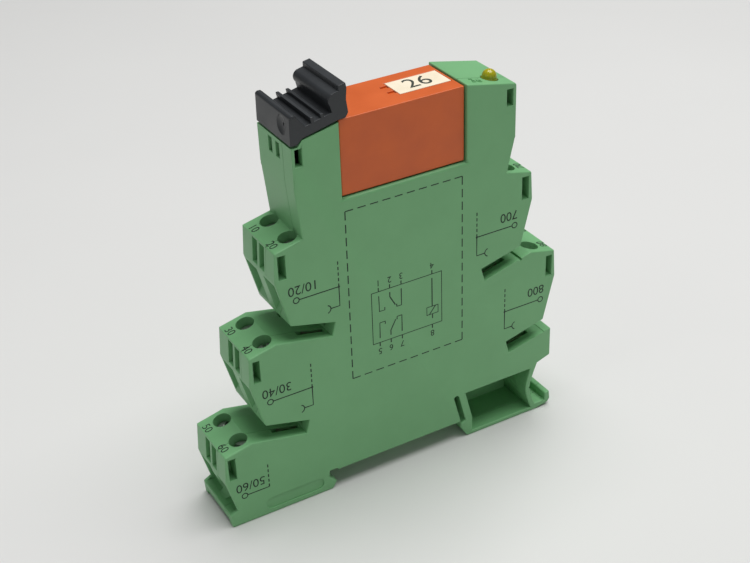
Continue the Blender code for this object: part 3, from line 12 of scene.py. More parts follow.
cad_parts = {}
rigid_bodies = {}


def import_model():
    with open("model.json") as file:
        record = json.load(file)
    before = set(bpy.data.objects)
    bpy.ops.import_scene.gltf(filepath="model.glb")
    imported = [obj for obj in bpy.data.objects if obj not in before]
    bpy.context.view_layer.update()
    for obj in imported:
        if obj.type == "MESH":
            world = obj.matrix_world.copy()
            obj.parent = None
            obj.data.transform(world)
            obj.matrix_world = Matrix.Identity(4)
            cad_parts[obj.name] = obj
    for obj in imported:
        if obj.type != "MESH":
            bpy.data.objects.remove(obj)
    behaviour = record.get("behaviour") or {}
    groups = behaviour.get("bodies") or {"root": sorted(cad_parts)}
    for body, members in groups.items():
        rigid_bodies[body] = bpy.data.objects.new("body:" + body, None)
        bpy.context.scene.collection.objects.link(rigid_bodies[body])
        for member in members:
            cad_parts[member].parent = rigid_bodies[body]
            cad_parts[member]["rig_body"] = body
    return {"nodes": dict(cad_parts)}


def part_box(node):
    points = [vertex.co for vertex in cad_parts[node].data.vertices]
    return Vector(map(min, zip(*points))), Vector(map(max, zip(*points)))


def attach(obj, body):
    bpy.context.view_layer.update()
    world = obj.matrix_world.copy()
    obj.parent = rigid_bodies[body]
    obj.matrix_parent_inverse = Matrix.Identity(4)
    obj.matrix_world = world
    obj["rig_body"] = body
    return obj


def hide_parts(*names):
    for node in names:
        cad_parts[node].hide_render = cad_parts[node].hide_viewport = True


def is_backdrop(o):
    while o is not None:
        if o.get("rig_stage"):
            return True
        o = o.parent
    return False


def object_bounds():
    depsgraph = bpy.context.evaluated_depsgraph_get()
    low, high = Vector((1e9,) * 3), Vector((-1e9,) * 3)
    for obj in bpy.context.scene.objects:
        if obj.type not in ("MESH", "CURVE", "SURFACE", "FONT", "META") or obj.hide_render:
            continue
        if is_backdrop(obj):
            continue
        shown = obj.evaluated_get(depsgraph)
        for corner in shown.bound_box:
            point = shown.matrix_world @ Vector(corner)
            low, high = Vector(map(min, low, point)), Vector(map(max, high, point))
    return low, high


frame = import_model()
CAD_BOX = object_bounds()
NODES = frame["nodes"]
MM = 0.001

# Camera
LENS = 66.145
SENSOR = 36.0
CLIP_START, CLIP_END = 0.01, 20.0
CAMERA_TARGET = Vector((-0.395, 0.0, 42.47)) * MM
CAMERA_DISTANCE = 280.76 * MM
CAMERA_AZIMUTH = math.radians(-28.939)
CAMERA_ELEVATION = math.radians(31.523)
CAMERA_ROLL = math.radians(-2.146)

# Light: the sky, then name, watts, size and place of each area light, in metres
SKY_COLOUR = "#fdfdff"
SKY_STRENGTH = 0.17
LIGHTS = (
    ("softbox", 7.1, 0.7, (0.16, 0.03, 0.8)),
    ("side_fill", 0.45, 0.4, (-0.7, -0.05, 0.35)),
    ("front_fill", 0.42, 0.6, (-0.1, -0.9, 0.2)),
)

# Floor: a square sheet, in metres
FLOOR_SIZE = 6.0
FLOOR_DROP = 0.01 * MM
FLOOR_TONES = ("#dcdcda", "#e0e0de")
FLOOR_CLOUD = 83.3333 * MM
FLOOR_ROUGHNESS = 0.7
FLOOR_SHEEN = 0.2

# Base
FACE_Y = -7.0 * MM
LEVEL_TILT = math.radians(13.0)
LEFT_LEVELS, RIGHT_LEVELS = 3, 2
LEFT_CORNER = Vector((-25.44, 0.0, 60.24)) * MM
LEFT_STEP = Vector((-7.08, 0.0, -21.15)) * MM
RIGHT_CORNER = Vector((33.05, 0.0, 61.06)) * MM
RIGHT_STEP = Vector((6.56, 0.0, -20.5)) * MM
CORNER_TO_SCREW = 4.5 * MM
TERMINAL_Y = 3.85 * MM
LEVEL_NAMES = ("common", "make", "break", "coil_minus", "coil_plus")
SCREW_TURNS = (24.0, -38.0, 66.0, 12.0, -58.0, 41.0, 83.0, -16.0, 33.0, -71.0)

# Bridge slots, measured from a level's outer corner, and the comb slit in their floor
TAPER_OUT = 1.55 * MM
TAPER_DOWN = 16.9 * MM
SLOT_DEPTH = 9.94 * MM
SLOT_HEIGHT = 3.08 * MM
SLOT_TILT = math.radians(14.2)
COMB_START = 0.3 * MM
COMB_SIZE = Vector((6.4, 1.4, 1.5)) * MM

# Contact leaves in the comb slits
SPRING_START = 0.7 * MM
SPRING_SIZE = Vector((4.6, 0.9, 1.0)) * MM
SPRING_DROP = 0.35 * MM
SPRING_WALL = 0.16 * MM
SPRING_PINCH = 0.12
LEAF_STEPS = 12
LEAF_ROWS = 2

# Probe slots in the end faces
PROBE_Y = 1.5 * MM
PROBE_SIZE = Vector((3.0, 2.1, 5.3)) * MM
PROBE_IN = 1.5 * MM
PROBE_TOP = 0.5 * MM

# Snap windows in the side faces, measured from an outer edge
SNAP_IN = 1.4 * MM
SNAP_TOP = 0.88 * MM
SNAP_SIZE = Vector((1.54, 3.2, 5.04)) * MM
SNAP_FLOOR_Y = 3.9 * MM
LED_TOWER_CORNER = Vector((28.7, 0.0, 81.49)) * MM
LED_SNAP_HEIGHT = 3.6 * MM
SNAP_PLUG = Vector((1.7, 1.68, 1.5)) * MM
PLUG_SUNK = 0.02 * MM

# Fillings: the ramp of the left foot and the back wall of the right foot, as low and high x and z
SEAM_GAP = 0.05 * MM
RAMP_FILL = ((-39.48, 1.3), (-37.0, 3.2))
RAMP_HALF = 6.15 * MM
POCKET_FILL = ((17.0, 0.4), (34.2, 11.8))
POCKET_BACK = (2.8 * MM, 6.0 * MM)

# Shallow dish with a gate mark in the lever's end face
DISH_PLACE = Vector((-20.5, -3.75, 84.3)) * MM
DISH_RADIUS = 2.0 * MM
DISH_DEPTH = 0.46 * MM
GATE_SIZE = Vector((1.7, 0.55, 0.75)) * MM

# Lamp collar and raised number on the roof beside it
ROOF_TILT = math.radians(11.84)
LAMP_FOOT = Vector((24.6, -3.6, 82.35)) * MM
COLLAR_SIZE = Vector((3.36, 3.36, 0.2)) * MM
ROOF_NUMBER = Vector((20.6, -4.9, 83.19)) * MM
RAISED = 0.15 * MM

# Coil
WIRE_RADIUS = 0.11 * MM
WIRE_PITCH = 0.235 * MM
WIRE_STEPS = 28
WIRE_BED = 0.93

# Rounded edges: radii in millimetres, and the least bend of an edge in degrees
LEDGE_ROUND = 0.6
FACE_ROUND = 0.3
FINE_ROUND = 0.08
LEVER_ROUNDS = (0.14, 0.06)
CASE_ROUNDS = (0.18, 0.06)
CARD_ROUNDS = (0.06,)
LAMP_ROUNDS = (0.04,)
SCREW_ROUNDS = (0.12,)
SHARP = 28.0
LAMP_SHARP = 60.0
SCREW_SHARP = 40.0
RESIDUAL_SHARP = 50.0

# Detail and clean-up of the meshes
ROUND_SEGMENTS = 3
SMOOTH_ANGLE = math.radians(40.0)
FACET_ANGLE = math.radians(1.0)
FLAT_ANGLE = math.radians(0.2)
WELD = 0.01 * MM
BALL_DETAIL = 6
DISC_SIDES = 48

# Choice of edges; ROOM is the clear space beside an edge, in radii of its round
EDGE_SAMPLE = 0.12 * MM
EDGE_REACH = 0.1 * MM
ROOM = 2.2
SEAM_Y = -3.3 * MM
ROOM_Y = 5.9 * MM
LEDGE_Z = 67.5 * MM
LEVER_SEAT_X = -10.4 * MM
LEVER_SEAT_Z = 79.0 * MM

# Ink
INK_WIDTH = 0.27 * MM
INK_FLATTEN = 0.16
TEXT_LIFT = 0.012 * MM
TEXT_THICKNESS = 0.012 * MM

# Line diagram on the front face: points are x and z in millimetres, and sizes too
FRAME_LOW, FRAME_HIGH = (-10.2, 26.2), (16.2, 64.8)
DASH, DASH_GAP = 1.9, 0.95
SHORT_DASH, SHORT_GAP = 0.85, 0.5
BOX_LOW, BOX_HIGH = (-5.2, 32.65), (11.2, 44.75)
PIN_X = (-3.6, -1.0, 1.65, 8.9)
PIN_STUB = 0.9
PIN_NUMBER_Z = (46.8, 30.6)
CONTACT_MIDDLE = 38.7
CONTACT_PATHS = (
    [(-3.55, 5.0), (-3.5, 1.35), (-2.25, 1.35), (-2.25, 2.0)],
    [(-1.0, 5.1), (-1.0, 4.0), (0.2, 1.75)],
    [(1.65, 5.1), (1.65, 1.2), (0.55, 1.2), (0.5, 1.85)],
)
COIL_PATHS = (
    [(8.9, 43.8), (8.9, 37.05)],
    [(7.6, 35.2), (10.3, 35.2), (10.3, 37.05), (7.6, 37.05), (7.6, 35.2)],
    [(8.2, 35.2), (9.7, 37.05)],
    [(8.95, 35.2), (8.95, 34.1)],
)

# Branch to each level: x, z, side, and whether it ends in a fork
BRANCHES = (
    (-12.3, 48.9, -1, True), (-19.5, 27.7, -1, True), (-30.65, 7.1, -1, False),
    (19.75, 49.85, 1, True), (27.0, 29.3, 1, True),
)
BRANCH_REACH = 9.3
SHORT_REACH = 5.55
BRANCH_RISE = 5.7
RING_RADIUS = 0.62
RING_STEPS = 20
DOT_RADIUS = 0.15
FORK_DROP = 4.35
FORK_OUT = 2.0
FORK_RADIUS = 0.9
FORK_SPREAD = math.radians(75.0)

# Numbers: text sizes in millimetres, and text, x and z on the front face
FRONT_TEXT = 2.9
PIN_TEXT = 2.0
LEVEL_TEXT = 2.5
ROOF_TEXT = 2.7
TAG_TEXT = 5.8
LEVEL_TEXT_IN = 1.05 * MM
NUMBER_STEP = 10
FRONT_NUMBERS = (
    ("10/20", -20.0, 51.2), ("30/40", -27.2, 30.0), ("50/60", -34.7, 9.4),
    ("700", 27.6, 52.4), ("800", 35.0, 32.0),
)

# Colour sockets of a mix node
MIX_FROM, MIX_TO, MIX_RESULT = 6, 7, 2

# Surfaces: spans of the noise that is used, how far roughness wanders, and sizes of the relief
CLOUD_SPAN = (0.3, 0.7)
GLOSS_SPAN = (0.25, 0.75)
GLOSS_WANDER = 0.06
GRAIN_DEPTH = 0.03 * MM
METAL_WANDER = 0.1
STREAK_RELIEF = 0.15
STREAK_DEPTH = 0.02 * MM
SKIP_SIZE = 0.5 * MM
SKIP_SPAN = (0.35, 0.75)
SKIP_MOST = 0.35
EPOXY_ROUGHNESS = 0.04
EPOXY_IOR = 1.54
EPOXY_CLEAR = 0.5
SWIRL_SIZE = 1.5 * MM
SWIRL_RELIEF = 0.05
SWIRL_DEPTH = 0.02 * MM


def linear(colour):
    """An sRGB hex colour as linear red, green, blue and alpha."""
    channels = []
    for start in (1, 3, 5):
        value = int(colour[start:start + 2], 16) / 255
        channels.append(value / 12.92 if value <= 0.04045 else ((value + 0.055) / 1.055) ** 2.4)
    return (*channels, 1.0)


def add(tree, kind, settings, inputs):
    """One node with its own settings, its input values and its links."""
    node = tree.nodes.new(kind)
    for key, value in settings.items():
        setattr(node, key, value)
    for key, value in inputs.items():
        if isinstance(value, bpy.types.NodeSocket):
            tree.links.new(value, node.inputs[key])
        else:
            node.inputs[key].default_value = value
    return node


def start_material(name, roughness, metallic=0.0, ior=1.5):
    """An empty surface, its shader and its object coordinates."""
    finish = bpy.data.materials.new(name)
    finish.use_nodes = True
    tree = finish.node_tree
    shader = tree.nodes["Principled BSDF"]
    shader.inputs["Roughness"].default_value = roughness
    shader.inputs["Metallic"].default_value = metallic
    shader.inputs["IOR"].default_value = ior
    place = add(tree, "ShaderNodeTexCoord", {}, {}).outputs["Object"]
    return finish, tree, shader, place


def moulded(name, colour, deep, roughness, cloud, grain, relief):
    """Moulded plastic: clouds of two near tones, a spark-eroded grain and a roughness that wanders.

    Cloud and grain are feature sizes in millimetres. The true grain is finer than a pixel of the
    picture, so it is drawn a little coarser.
    """
    finish, tree, shader, place = start_material(name, roughness)
    clouds = add(tree, "ShaderNodeTexNoise", {}, {
        "Vector": place, "Scale": 1 / (cloud * MM), "Detail": 3.0, "Roughness": 0.55})
    tone = add(tree, "ShaderNodeMapRange", {}, {
        "Value": clouds.outputs["Fac"], "From Min": CLOUD_SPAN[0], "From Max": CLOUD_SPAN[1]})
    shade = add(tree, "ShaderNodeMix", {"data_type": "RGBA"}, {
        "Factor": tone.outputs["Result"], MIX_FROM: linear(deep), MIX_TO: linear(colour)})
    pits = add(tree, "ShaderNodeTexNoise", {}, {
        "Vector": place, "Scale": 1 / (grain * MM), "Detail": 2.0, "Roughness": 0.6})
    gloss = add(tree, "ShaderNodeMapRange", {}, {
        "Value": clouds.outputs["Fac"], "From Min": GLOSS_SPAN[0], "From Max": GLOSS_SPAN[1],
        "To Min": roughness - GLOSS_WANDER, "To Max": roughness + GLOSS_WANDER})
    bump = add(tree, "ShaderNodeBump", {}, {
        "Strength": relief, "Distance": GRAIN_DEPTH, "Height": pits.outputs["Fac"]})
    tree.links.new(shade.outputs[MIX_RESULT], shader.inputs["Base Color"])
    tree.links.new(gloss.outputs["Result"], shader.inputs["Roughness"])
    tree.links.new(bump.outputs["Normal"], shader.inputs["Normal"])
    return finish


def plated(name, colour, dull, roughness, streak, stretch):
    """Plated or rolled metal: a bright tone and a dull one in streaks along one direction.

    Streak is the width of a streak in millimetres.
    """
    finish, tree, shader, place = start_material(name, roughness, metallic=1.0)
    turned = add(tree, "ShaderNodeMapping", {}, {"Vector": place, "Scale": stretch})
    streaks = add(tree, "ShaderNodeTexNoise", {}, {
        "Vector": turned.outputs["Vector"], "Scale": 1 / (streak * MM), "Detail": 4.0})
    tone = add(tree, "ShaderNodeMix", {"data_type": "RGBA"}, {
        "Factor": streaks.outputs["Fac"], MIX_FROM: linear(dull), MIX_TO: linear(colour)})
    gloss = add(tree, "ShaderNodeMapRange", {}, {
        "Value": streaks.outputs["Fac"],
        "To Min": roughness + METAL_WANDER, "To Max": roughness - METAL_WANDER})
    bump = add(tree, "ShaderNodeBump", {}, {
        "Strength": STREAK_RELIEF, "Distance": STREAK_DEPTH, "Height": streaks.outputs["Fac"]})
    tree.links.new(tone.outputs[MIX_RESULT], shader.inputs["Base Color"])
    tree.links.new(gloss.outputs["Result"], shader.inputs["Roughness"])
    tree.links.new(bump.outputs["Normal"], shader.inputs["Normal"])
    return finish


def printed(name, colour, worn, roughness):
    """Printed ink, a little thin where the pad skipped."""
    finish, tree, shader, place = start_material(name, roughness)
    skip = add(tree, "ShaderNodeTexNoise", {}, {
        "Vector": place, "Scale": 1 / SKIP_SIZE, "Detail": 2.0})
    thin = add(tree, "ShaderNodeMapRange", {}, {
        "Value": skip.outputs["Fac"], "From Min": SKIP_SPAN[0], "From Max": SKIP_SPAN[1],
        "To Max": SKIP_MOST})
    tone = add(tree, "ShaderNodeMix", {"data_type": "RGBA"}, {
        "Factor": thin.outputs["Result"], MIX_FROM: linear(colour), MIX_TO: linear(worn)})
    tree.links.new(tone.outputs[MIX_RESULT], shader.inputs["Base Color"])
    return finish


def epoxy(name, lit_crown, root, low, high):
    """Tinted clear epoxy, glossy, with painted light that makes the crown paler and painted shade that makes
    the root darker and greener, between two heights in millimetres up.
    """
    finish, tree, shader, place = start_material(name, EPOXY_ROUGHNESS, ior=EPOXY_IOR)
    height = add(tree, "ShaderNodeSeparateXYZ", {}, {"Vector": place})
    # Painted light and shade: the base colour runs up from a shaded, darker and greener root to a lit, paler
    # crown
    rise = add(tree, "ShaderNodeMapRange", {}, {
        "Value": height.outputs["Z"], "From Min": low * MM, "From Max": high * MM})
    tone = add(tree, "ShaderNodeMix", {"data_type": "RGBA"}, {
        "Factor": rise.outputs["Result"], MIX_FROM: linear(root), MIX_TO: linear(lit_crown)})
    swirl = add(tree, "ShaderNodeTexNoise", {}, {"Vector": place, "Scale": 1 / SWIRL_SIZE})
    bump = add(tree, "ShaderNodeBump", {}, {
        "Strength": SWIRL_RELIEF, "Distance": SWIRL_DEPTH, "Height": swirl.outputs["Fac"]})
    shader.inputs["Transmission Weight"].default_value = EPOXY_CLEAR
    tree.links.new(tone.outputs[MIX_RESULT], shader.inputs["Base Color"])
    tree.links.new(bump.outputs["Normal"], shader.inputs["Normal"])
    return finish


# Glass-filled polyamide from an eroded mould: a soft satin sheen over faint clouds
GREEN = moulded("moulded_polyamide_green", "#76b27b", "#70ac75", 0.46, 9.0, 0.28, 0.10)
# The same in black: nearly even, with pale lines where an edge catches the light
BLACK = moulded("moulded_polyamide_black", "#2c3033", "#272a2d", 0.42, 5.0, 0.3, 0.12)
# Polyester from a smoother mould: a warm, slightly glossier face
ORANGE = moulded("moulded_polyester_orange", "#d66222", "#cc5b1f", 0.4, 7.0, 0.3, 0.06)
# The relay's floor in the same plastic: duller and browner
RELAY_FLOOR = moulded("moulded_polyester_floor", "#b4552f", "#a84e2b", 0.5, 5.0, 0.3, 0.08)
# Coated card: matt cream with a fine tooth
PAPER = moulded("coated_marker_card", "#f2e7cf", "#ecdfc4", 0.55, 4.0, 0.12, 0.05)
# Moulded bobbin plastic: matt cream
BOBBIN = moulded("moulded_bobbin_cream", "#e6dcc0", "#dccfae", 0.5, 4.0, 0.3, 0.05)
# Glass-fibre laminate under lacquer: dark green with a fine grain
LAMINATE = moulded("board_laminate", "#3f6b45", "#35603c", 0.45, 3.0, 0.25, 0.1)
# Moulded diode body: matt black
DIODE_BLACK = moulded("diode_moulding", "#232325", "#1d1d1f", 0.5, 2.0, 0.3, 0.08)
# Fired ceramic: pale and even
CERAMIC = moulded("resistor_ceramic", "#d8d4cc", "#cdc8be", 0.45, 2.0, 0.2, 0.06)
# Zinc on turned steel: bright, mottled alike in every direction
ZINC = plated("zinc_plated_steel", "#c9cbc9", "#9d9f9d", 0.32, 0.8, (1.0, 1.0, 1.0))
# Nickel on pressed steel: warm grey with upright streaks
NICKEL = plated("nickel_plated_steel", "#b9b7b0", "#93918a", 0.36, 0.6, (1.0, 1.0, 0.3))
# Tin on copper strip: soft grey with streaks along the strip
TINNED = plated("tinned_copper", "#c8c3b6", "#a59f90", 0.38, 0.7, (0.3, 1.0, 1.0))
# Tin on drawn pins: bright with streaks along the pin
PIN_TIN = plated("tinned_pin", "#cfcfca", "#a8a8a2", 0.34, 0.5, (1.0, 1.0, 0.3))
# Rolled spring bronze: golden with streaks along the blade
BRONZE = plated("spring_bronze", "#c9a264", "#a5803f", 0.34, 0.5, (1.0, 1.0, 0.3))
# Annealed iron: dull grey with the streaks of rolling
IRON = plated("soft_magnet_iron", "#a4a6a8", "#7f8183", 0.42, 0.7, (0.3, 1.0, 1.0))
# Enamelled wire: red-brown metal below a clear shine
COPPER = plated("enamelled_copper", "#b5683a", "#93502a", 0.3, 0.5, (1.0, 1.0, 1.0))
# Pad print: a thin matt film in very dark green
INK = printed("pad_print_ink", "#0e2417", "#2c5037", 0.6)
# Marker print: matt and nearly black
LABEL_INK = printed("marker_ink", "#2a2a28", "#4a6b50", 0.6)
# Cast lamp epoxy: yellow, clear and glossy, with a painted highlight that makes its crown paler and painted
# shade that makes it darker and greener towards its foot
LAMP = epoxy("lamp_epoxy_yellow", "#e8d922", "#98b01c", 81.8, 84.2)

# Finish of each solid that stays in view, by the start of its name
NODE_FINISHES = {
    "relay_base": RELAY_FLOOR, "relay_bobbin": BOBBIN, "relay_card": BOBBIN,
    "relay_core": IRON, "relay_yoke": IRON, "relay_armature": IRON, "relay_pin": PIN_TIN,
    "relay_blade": BRONZE, "cage": NICKEL, "busbar": TINNED, "circuit_board": LAMINATE,
    "diode": DIODE_BLACK, "resistor": CERAMIC,
}


def select_only(piece):
    """Make one piece the selected and active one."""
    bpy.ops.object.select_all(action="DESELECT")
    piece.select_set(True)
    bpy.context.view_layer.objects.active = piece


def settle(piece, finish, body):
    """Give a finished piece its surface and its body."""
    piece.data.materials.clear()
    piece.data.materials.append(finish)
    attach(piece, body)


def levels():
    """Side, outer top corner, inward and upward direction of each terminal level, from left to right."""
    places = [(-1, LEFT_CORNER + LEFT_STEP * index) for index in range(LEFT_LEVELS)]
    places += [(1, RIGHT_CORNER + RIGHT_STEP * index) for index in range(RIGHT_LEVELS)]
    for side, corner in places:
        inward = Vector((-side * math.cos(LEVEL_TILT), 0.0, math.sin(LEVEL_TILT)))
        upward = Vector((side * math.sin(LEVEL_TILT), 0.0, math.cos(LEVEL_TILT)))
        yield side, corner, inward, upward


def slot_floors():
    """Place and directions of the floor of each bridge slot, from its inner end: out along it, and up."""
    for index, (side, corner, inward, upward) in enumerate(levels()):
        if LEVEL_NAMES[index] == "break":
            continue
        into = Vector((-side * math.cos(SLOT_TILT), 0.0, -math.sin(SLOT_TILT)))
        down = Vector((side * math.sin(SLOT_TILT), 0.0, -math.cos(SLOT_TILT)))
        mouth = corner - inward * TAPER_OUT - upward * TAPER_DOWN
        yield LEVEL_NAMES[index], mouth + into * SLOT_DEPTH + down * SLOT_HEIGHT, -into, -down


def axes(along, upward, place):
    """The matrix that puts a shape's X along one direction, its Z upward and its middle at a place."""
    across = upward.cross(along)
    return Matrix.Translation(place) @ Matrix((along, across, upward)).transposed().to_4x4()


def snap_block(side, corner, sign, height):
    """The block that deepens one snap window."""
    place = corner + Vector((-side * SNAP_IN, sign * (SNAP_FLOOR_Y + SNAP_SIZE.y / 2),
                             -SNAP_TOP - height / 2))
    return Matrix.Translation(place), Vector((SNAP_SIZE.x, SNAP_SIZE.y + EDGE_REACH, height))


def slot_cuts():
    """Blocks that lengthen the comb slits, widen the probe slots and deepen the snap windows."""
    cuts = []
    for _, end, out, upward in slot_floors():
        for sign in (-1, 1):
            place = end + out * (COMB_START + COMB_SIZE.x / 2) + Vector((0.0, sign * TERMINAL_Y, 0.0))
            cuts.append((axes(out, upward, place), Vector((COMB_SIZE.x, COMB_SIZE.y, 2 * COMB_SIZE.z))))
    for side, corner, _, _ in levels():
        for sign in (-1, 1):
            place = corner + Vector((side * (PROBE_SIZE.x / 2 - PROBE_IN), sign * PROBE_Y,
                                     -PROBE_TOP - PROBE_SIZE.z / 2))
            cuts.append((Matrix.Translation(place), PROBE_SIZE))
            cuts.append(snap_block(side, corner, sign, SNAP_SIZE.z))
    for sign in (-1, 1):
        cuts.append(snap_block(1, LED_TOWER_CORNER, sign, LED_SNAP_HEIGHT + 2 * PLUG_SUNK))
    return cuts


def between(low, high, low_y, high_y):
    """The block between two corners of the side view, in millimetres, and two planes across it."""
    start = Vector((low[0] * MM, low_y, low[1] * MM))
    end = Vector((high[0] * MM, high_y, high[1] * MM))
    return Matrix.Translation((start + end) / 2), end - start


def shell_fills(sign):
    """Blocks that smooth the left foot's ramp, shorten the lamp tower's window and close the right foot."""
    low, high = (SEAM_Y + SEAM_GAP, RAMP_HALF) if sign > 0 else (-RAMP_HALF, SEAM_Y)
    plug = LED_TOWER_CORNER + Vector((-SNAP_IN, sign * (-FACE_Y - PLUG_SUNK - SNAP_PLUG.y / 2),
                                      -SNAP_TOP - LED_SNAP_HEIGHT - SNAP_PLUG.z / 2))
    fills = [between(*RAMP_FILL, low, high), (Matrix.Translation(plug), SNAP_PLUG)]
    if sign > 0:
        fills.append(between(*POCKET_FILL, *POCKET_BACK))
    return fills


def combine(piece, operation, blocks, shape="cube"):
    """Cut blocks out of a piece or add them to it."""
    for place, size in blocks:
        bpy.ops.object.select_all(action="DESELECT")
        if shape == "cube":
            bpy.ops.mesh.primitive_cube_add(size=1.0)
        elif shape == "sphere":
            bpy.ops.mesh.primitive_ico_sphere_add(subdivisions=BALL_DETAIL, radius=0.5)
        else:
            bpy.ops.mesh.primitive_cylinder_add(vertices=DISC_SIDES, radius=0.5, depth=1.0)
        block = bpy.context.object
        block.data.transform(place @ Matrix.Diagonal((*size, 1.0)))
        select_only(piece)
        step = piece.modifiers.new("combine", "BOOLEAN")
        step.operation = operation
        step.object = block
        bpy.ops.object.modifier_apply(modifier=step.name)
        bpy.data.objects.remove(block, do_unlink=True)


def crowded(lines, room):
    """Indices of lines that run closer than room to a line they don't meet."""
    marks = []
    for start, end, _ in lines:
        steps = max(1, math.ceil((end - start).length / EDGE_SAMPLE))
        marks.append([start.lerp(end, (step + 0.5) / steps) for step in range(steps)])
    tree = kdtree.KDTree(sum(len(points) for points in marks))
    owners = []
    for index, points in enumerate(marks):
        for point in points:
            tree.insert(point, len(owners))
            owners.append(index)
    tree.balance()
    tight = set()
    for index, points in enumerate(marks):
        for point in points:
            near = {owners[found] for _, found, _ in tree.find_range(point, room)}
            if any(not lines[other][2] & lines[index][2] for other in near):
                tight.add(index)
                break
    return tight


def select_roomy_edges(piece, edge, sharp, wanted):
    """Select the wanted outward edges that are long enough and clear enough of others for this round."""
    bpy.ops.object.mode_set(mode="EDIT")
    bpy.ops.mesh.select_mode(type="EDGE")
    bpy.ops.mesh.select_all(action="DESELECT")
    bpy.ops.object.mode_set(mode="OBJECT")
    solid = bmesh.new()
    solid.from_mesh(piece.data)
    picked = [line for line in solid.edges
              if line.is_manifold and line.calc_face_angle() > math.radians(sharp)]
    lines = [(*(corner.co.copy() for corner in line.verts), {corner.index for corner in line.verts})
             for line in picked]
    tight = crowded(lines, ROOM * edge)
    for index, line in enumerate(picked):
        start, end, _ = lines[index]
        roomy = index not in tight and (end - start).length > 2 * edge
        piece.data.edges[line.index].select = roomy and line.is_convex and wanted(start, end)
    solid.free()
    bpy.ops.object.mode_set(mode="EDIT")


def any_edge(start, end):
    """Every edge."""
    return True


def on_plane(start, end, plane):
    """An edge that lies in a plane across the base."""
    return all(abs(point.y - plane) < EDGE_REACH for point in (start, end))


def lever_seat(start, end):
    """An edge of the base below the lever's cap."""
    return all(point.x < LEVER_SEAT_X and point.z > LEVER_SEAT_Z for point in (start, end))


def ledge_edge(start, end):
    """The front edge of the ledge below the relay."""
    return all(point.y < FACE_Y + EDGE_REACH and abs(point.z - LEDGE_Z) < EDGE_REACH
               for point in (start, end))


def face_edge(start, end):
    """An edge that reaches a side face of the base, apart from its seam and the lever's seat."""
    if on_plane(start, end, SEAM_Y) or lever_seat(start, end):
        return False
    return max(abs(start.y), abs(end.y)) > -FACE_Y - EDGE_REACH


def fine_edge(start, end):
    """An edge of the base outside its inner rooms, its seam and the lever's seat."""
    inner = any(on_plane(start, end, plane) for plane in (SEAM_Y, ROOM_Y, -ROOM_Y))
    return not inner and not lever_seat(start, end)


def all_round(radii):
    """Rounds for every edge of a piece, the largest first."""
    return [(radius, any_edge) for radius in radii]


def rounded_copy(node, name, rounds, finish, sharp=SHARP, cuts=(), fills=(), discs=(), dishes=(),
                 turn=Matrix()):
    """A copy of a solid with its facets merged and its edges rounded, which stands for the node.

    Rounds are pairs of a radius in millimetres and the edges it is for, the largest first. Before
    that, turn sets the copy round, fills and discs are added, and cuts and dishes are taken out.
    """
    piece = bpy.data.objects.new(name, NODES[node].data.copy())
    bpy.context.scene.collection.objects.link(piece)
    select_only(piece)
    bpy.ops.mesh.customdata_custom_splitnormals_clear()
    bpy.ops.object.mode_set(mode="EDIT")
    bpy.ops.mesh.select_all(action="SELECT")
    bpy.ops.mesh.remove_doubles(threshold=WELD)
    bpy.ops.object.mode_set(mode="OBJECT")
    piece.data.transform(turn)
    combine(piece, "UNION", fills)
    combine(piece, "UNION", discs, "cylinder")
    combine(piece, "DIFFERENCE", cuts)
    combine(piece, "DIFFERENCE", dishes, "sphere")
    bpy.ops.object.mode_set(mode="EDIT")
    bpy.ops.mesh.select_all(action="SELECT")
    bpy.ops.mesh.remove_doubles(threshold=WELD)
    bpy.ops.mesh.dissolve_limited(angle_limit=FACET_ANGLE)
    bpy.ops.mesh.select_all(action="SELECT")
    bpy.ops.mesh.vert_connect_concave()
    bpy.ops.object.mode_set(mode="OBJECT")
    for radius, wanted in rounds:
        select_roomy_edges(piece, radius * MM, sharp, wanted)
        bpy.ops.mesh.bevel(offset=radius * MM, segments=ROUND_SEGMENTS, profile=0.5,
                           clamp_overlap=False, loop_slide=False)
        bpy.ops.object.mode_set(mode="OBJECT")
        sharp = max(sharp, RESIDUAL_SHARP)
    bpy.ops.object.mode_set(mode="EDIT")
    bpy.ops.mesh.select_all(action="SELECT")
    bpy.ops.mesh.dissolve_limited(angle_limit=FLAT_ANGLE)
    bpy.ops.object.mode_set(mode="OBJECT")
    bpy.ops.object.shade_smooth_by_angle(angle=SMOOTH_ANGLE)
    even = piece.modifiers.new("even_normals", "WEIGHTED_NORMAL")
    even.keep_sharp = True
    bpy.ops.object.modifier_apply(modifier=even.name)
    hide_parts(node)
    settle(piece, finish, NODES[node]["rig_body"])


def ink_lines(name, paths, width, finish):
    """Printed lines on the front face: each path is a list of x, z points, closed if its ends meet."""
    curve = bpy.data.curves.new(name, "CURVE")
    curve.dimensions = "3D"
    curve.bevel_depth = width / 2
    curve.bevel_resolution = 1
    curve.use_fill_caps = True
    for path in paths:
        closed = path[0] == path[-1]
        points = path[:-1] if closed else path
        spline = curve.splines.new("POLY")
        spline.points.add(len(points) - 1)
        for point, (x, z) in zip(spline.points, points):
            point.co = (x * MM, 0.0, z * MM, 1.0)
        spline.use_cyclic_u = closed
    piece = bpy.data.objects.new(name, curve)
    bpy.context.scene.collection.objects.link(piece)
    select_only(piece)
    bpy.ops.object.convert(target="MESH")
    piece = bpy.context.object
    flat = Matrix.Diagonal((1.0, INK_FLATTEN, 1.0, 1.0))
    piece.data.transform(Matrix.Translation((0.0, FACE_Y, 0.0)) @ flat)
    settle(piece, finish, "base")


def dashes(start, end, dash, gap):
    """A straight line cut into dashes, with a whole dash at each end."""
    start, end = Vector(start), Vector(end)
    length = (end - start).length
    along = (end - start) / length
    count = max(1, round((length + gap) / (dash + gap)))
    pitch = (length + gap) / count
    return [[tuple(start + along * index * pitch), tuple(start + along * (index * pitch + pitch - gap))]
            for index in range(count)]


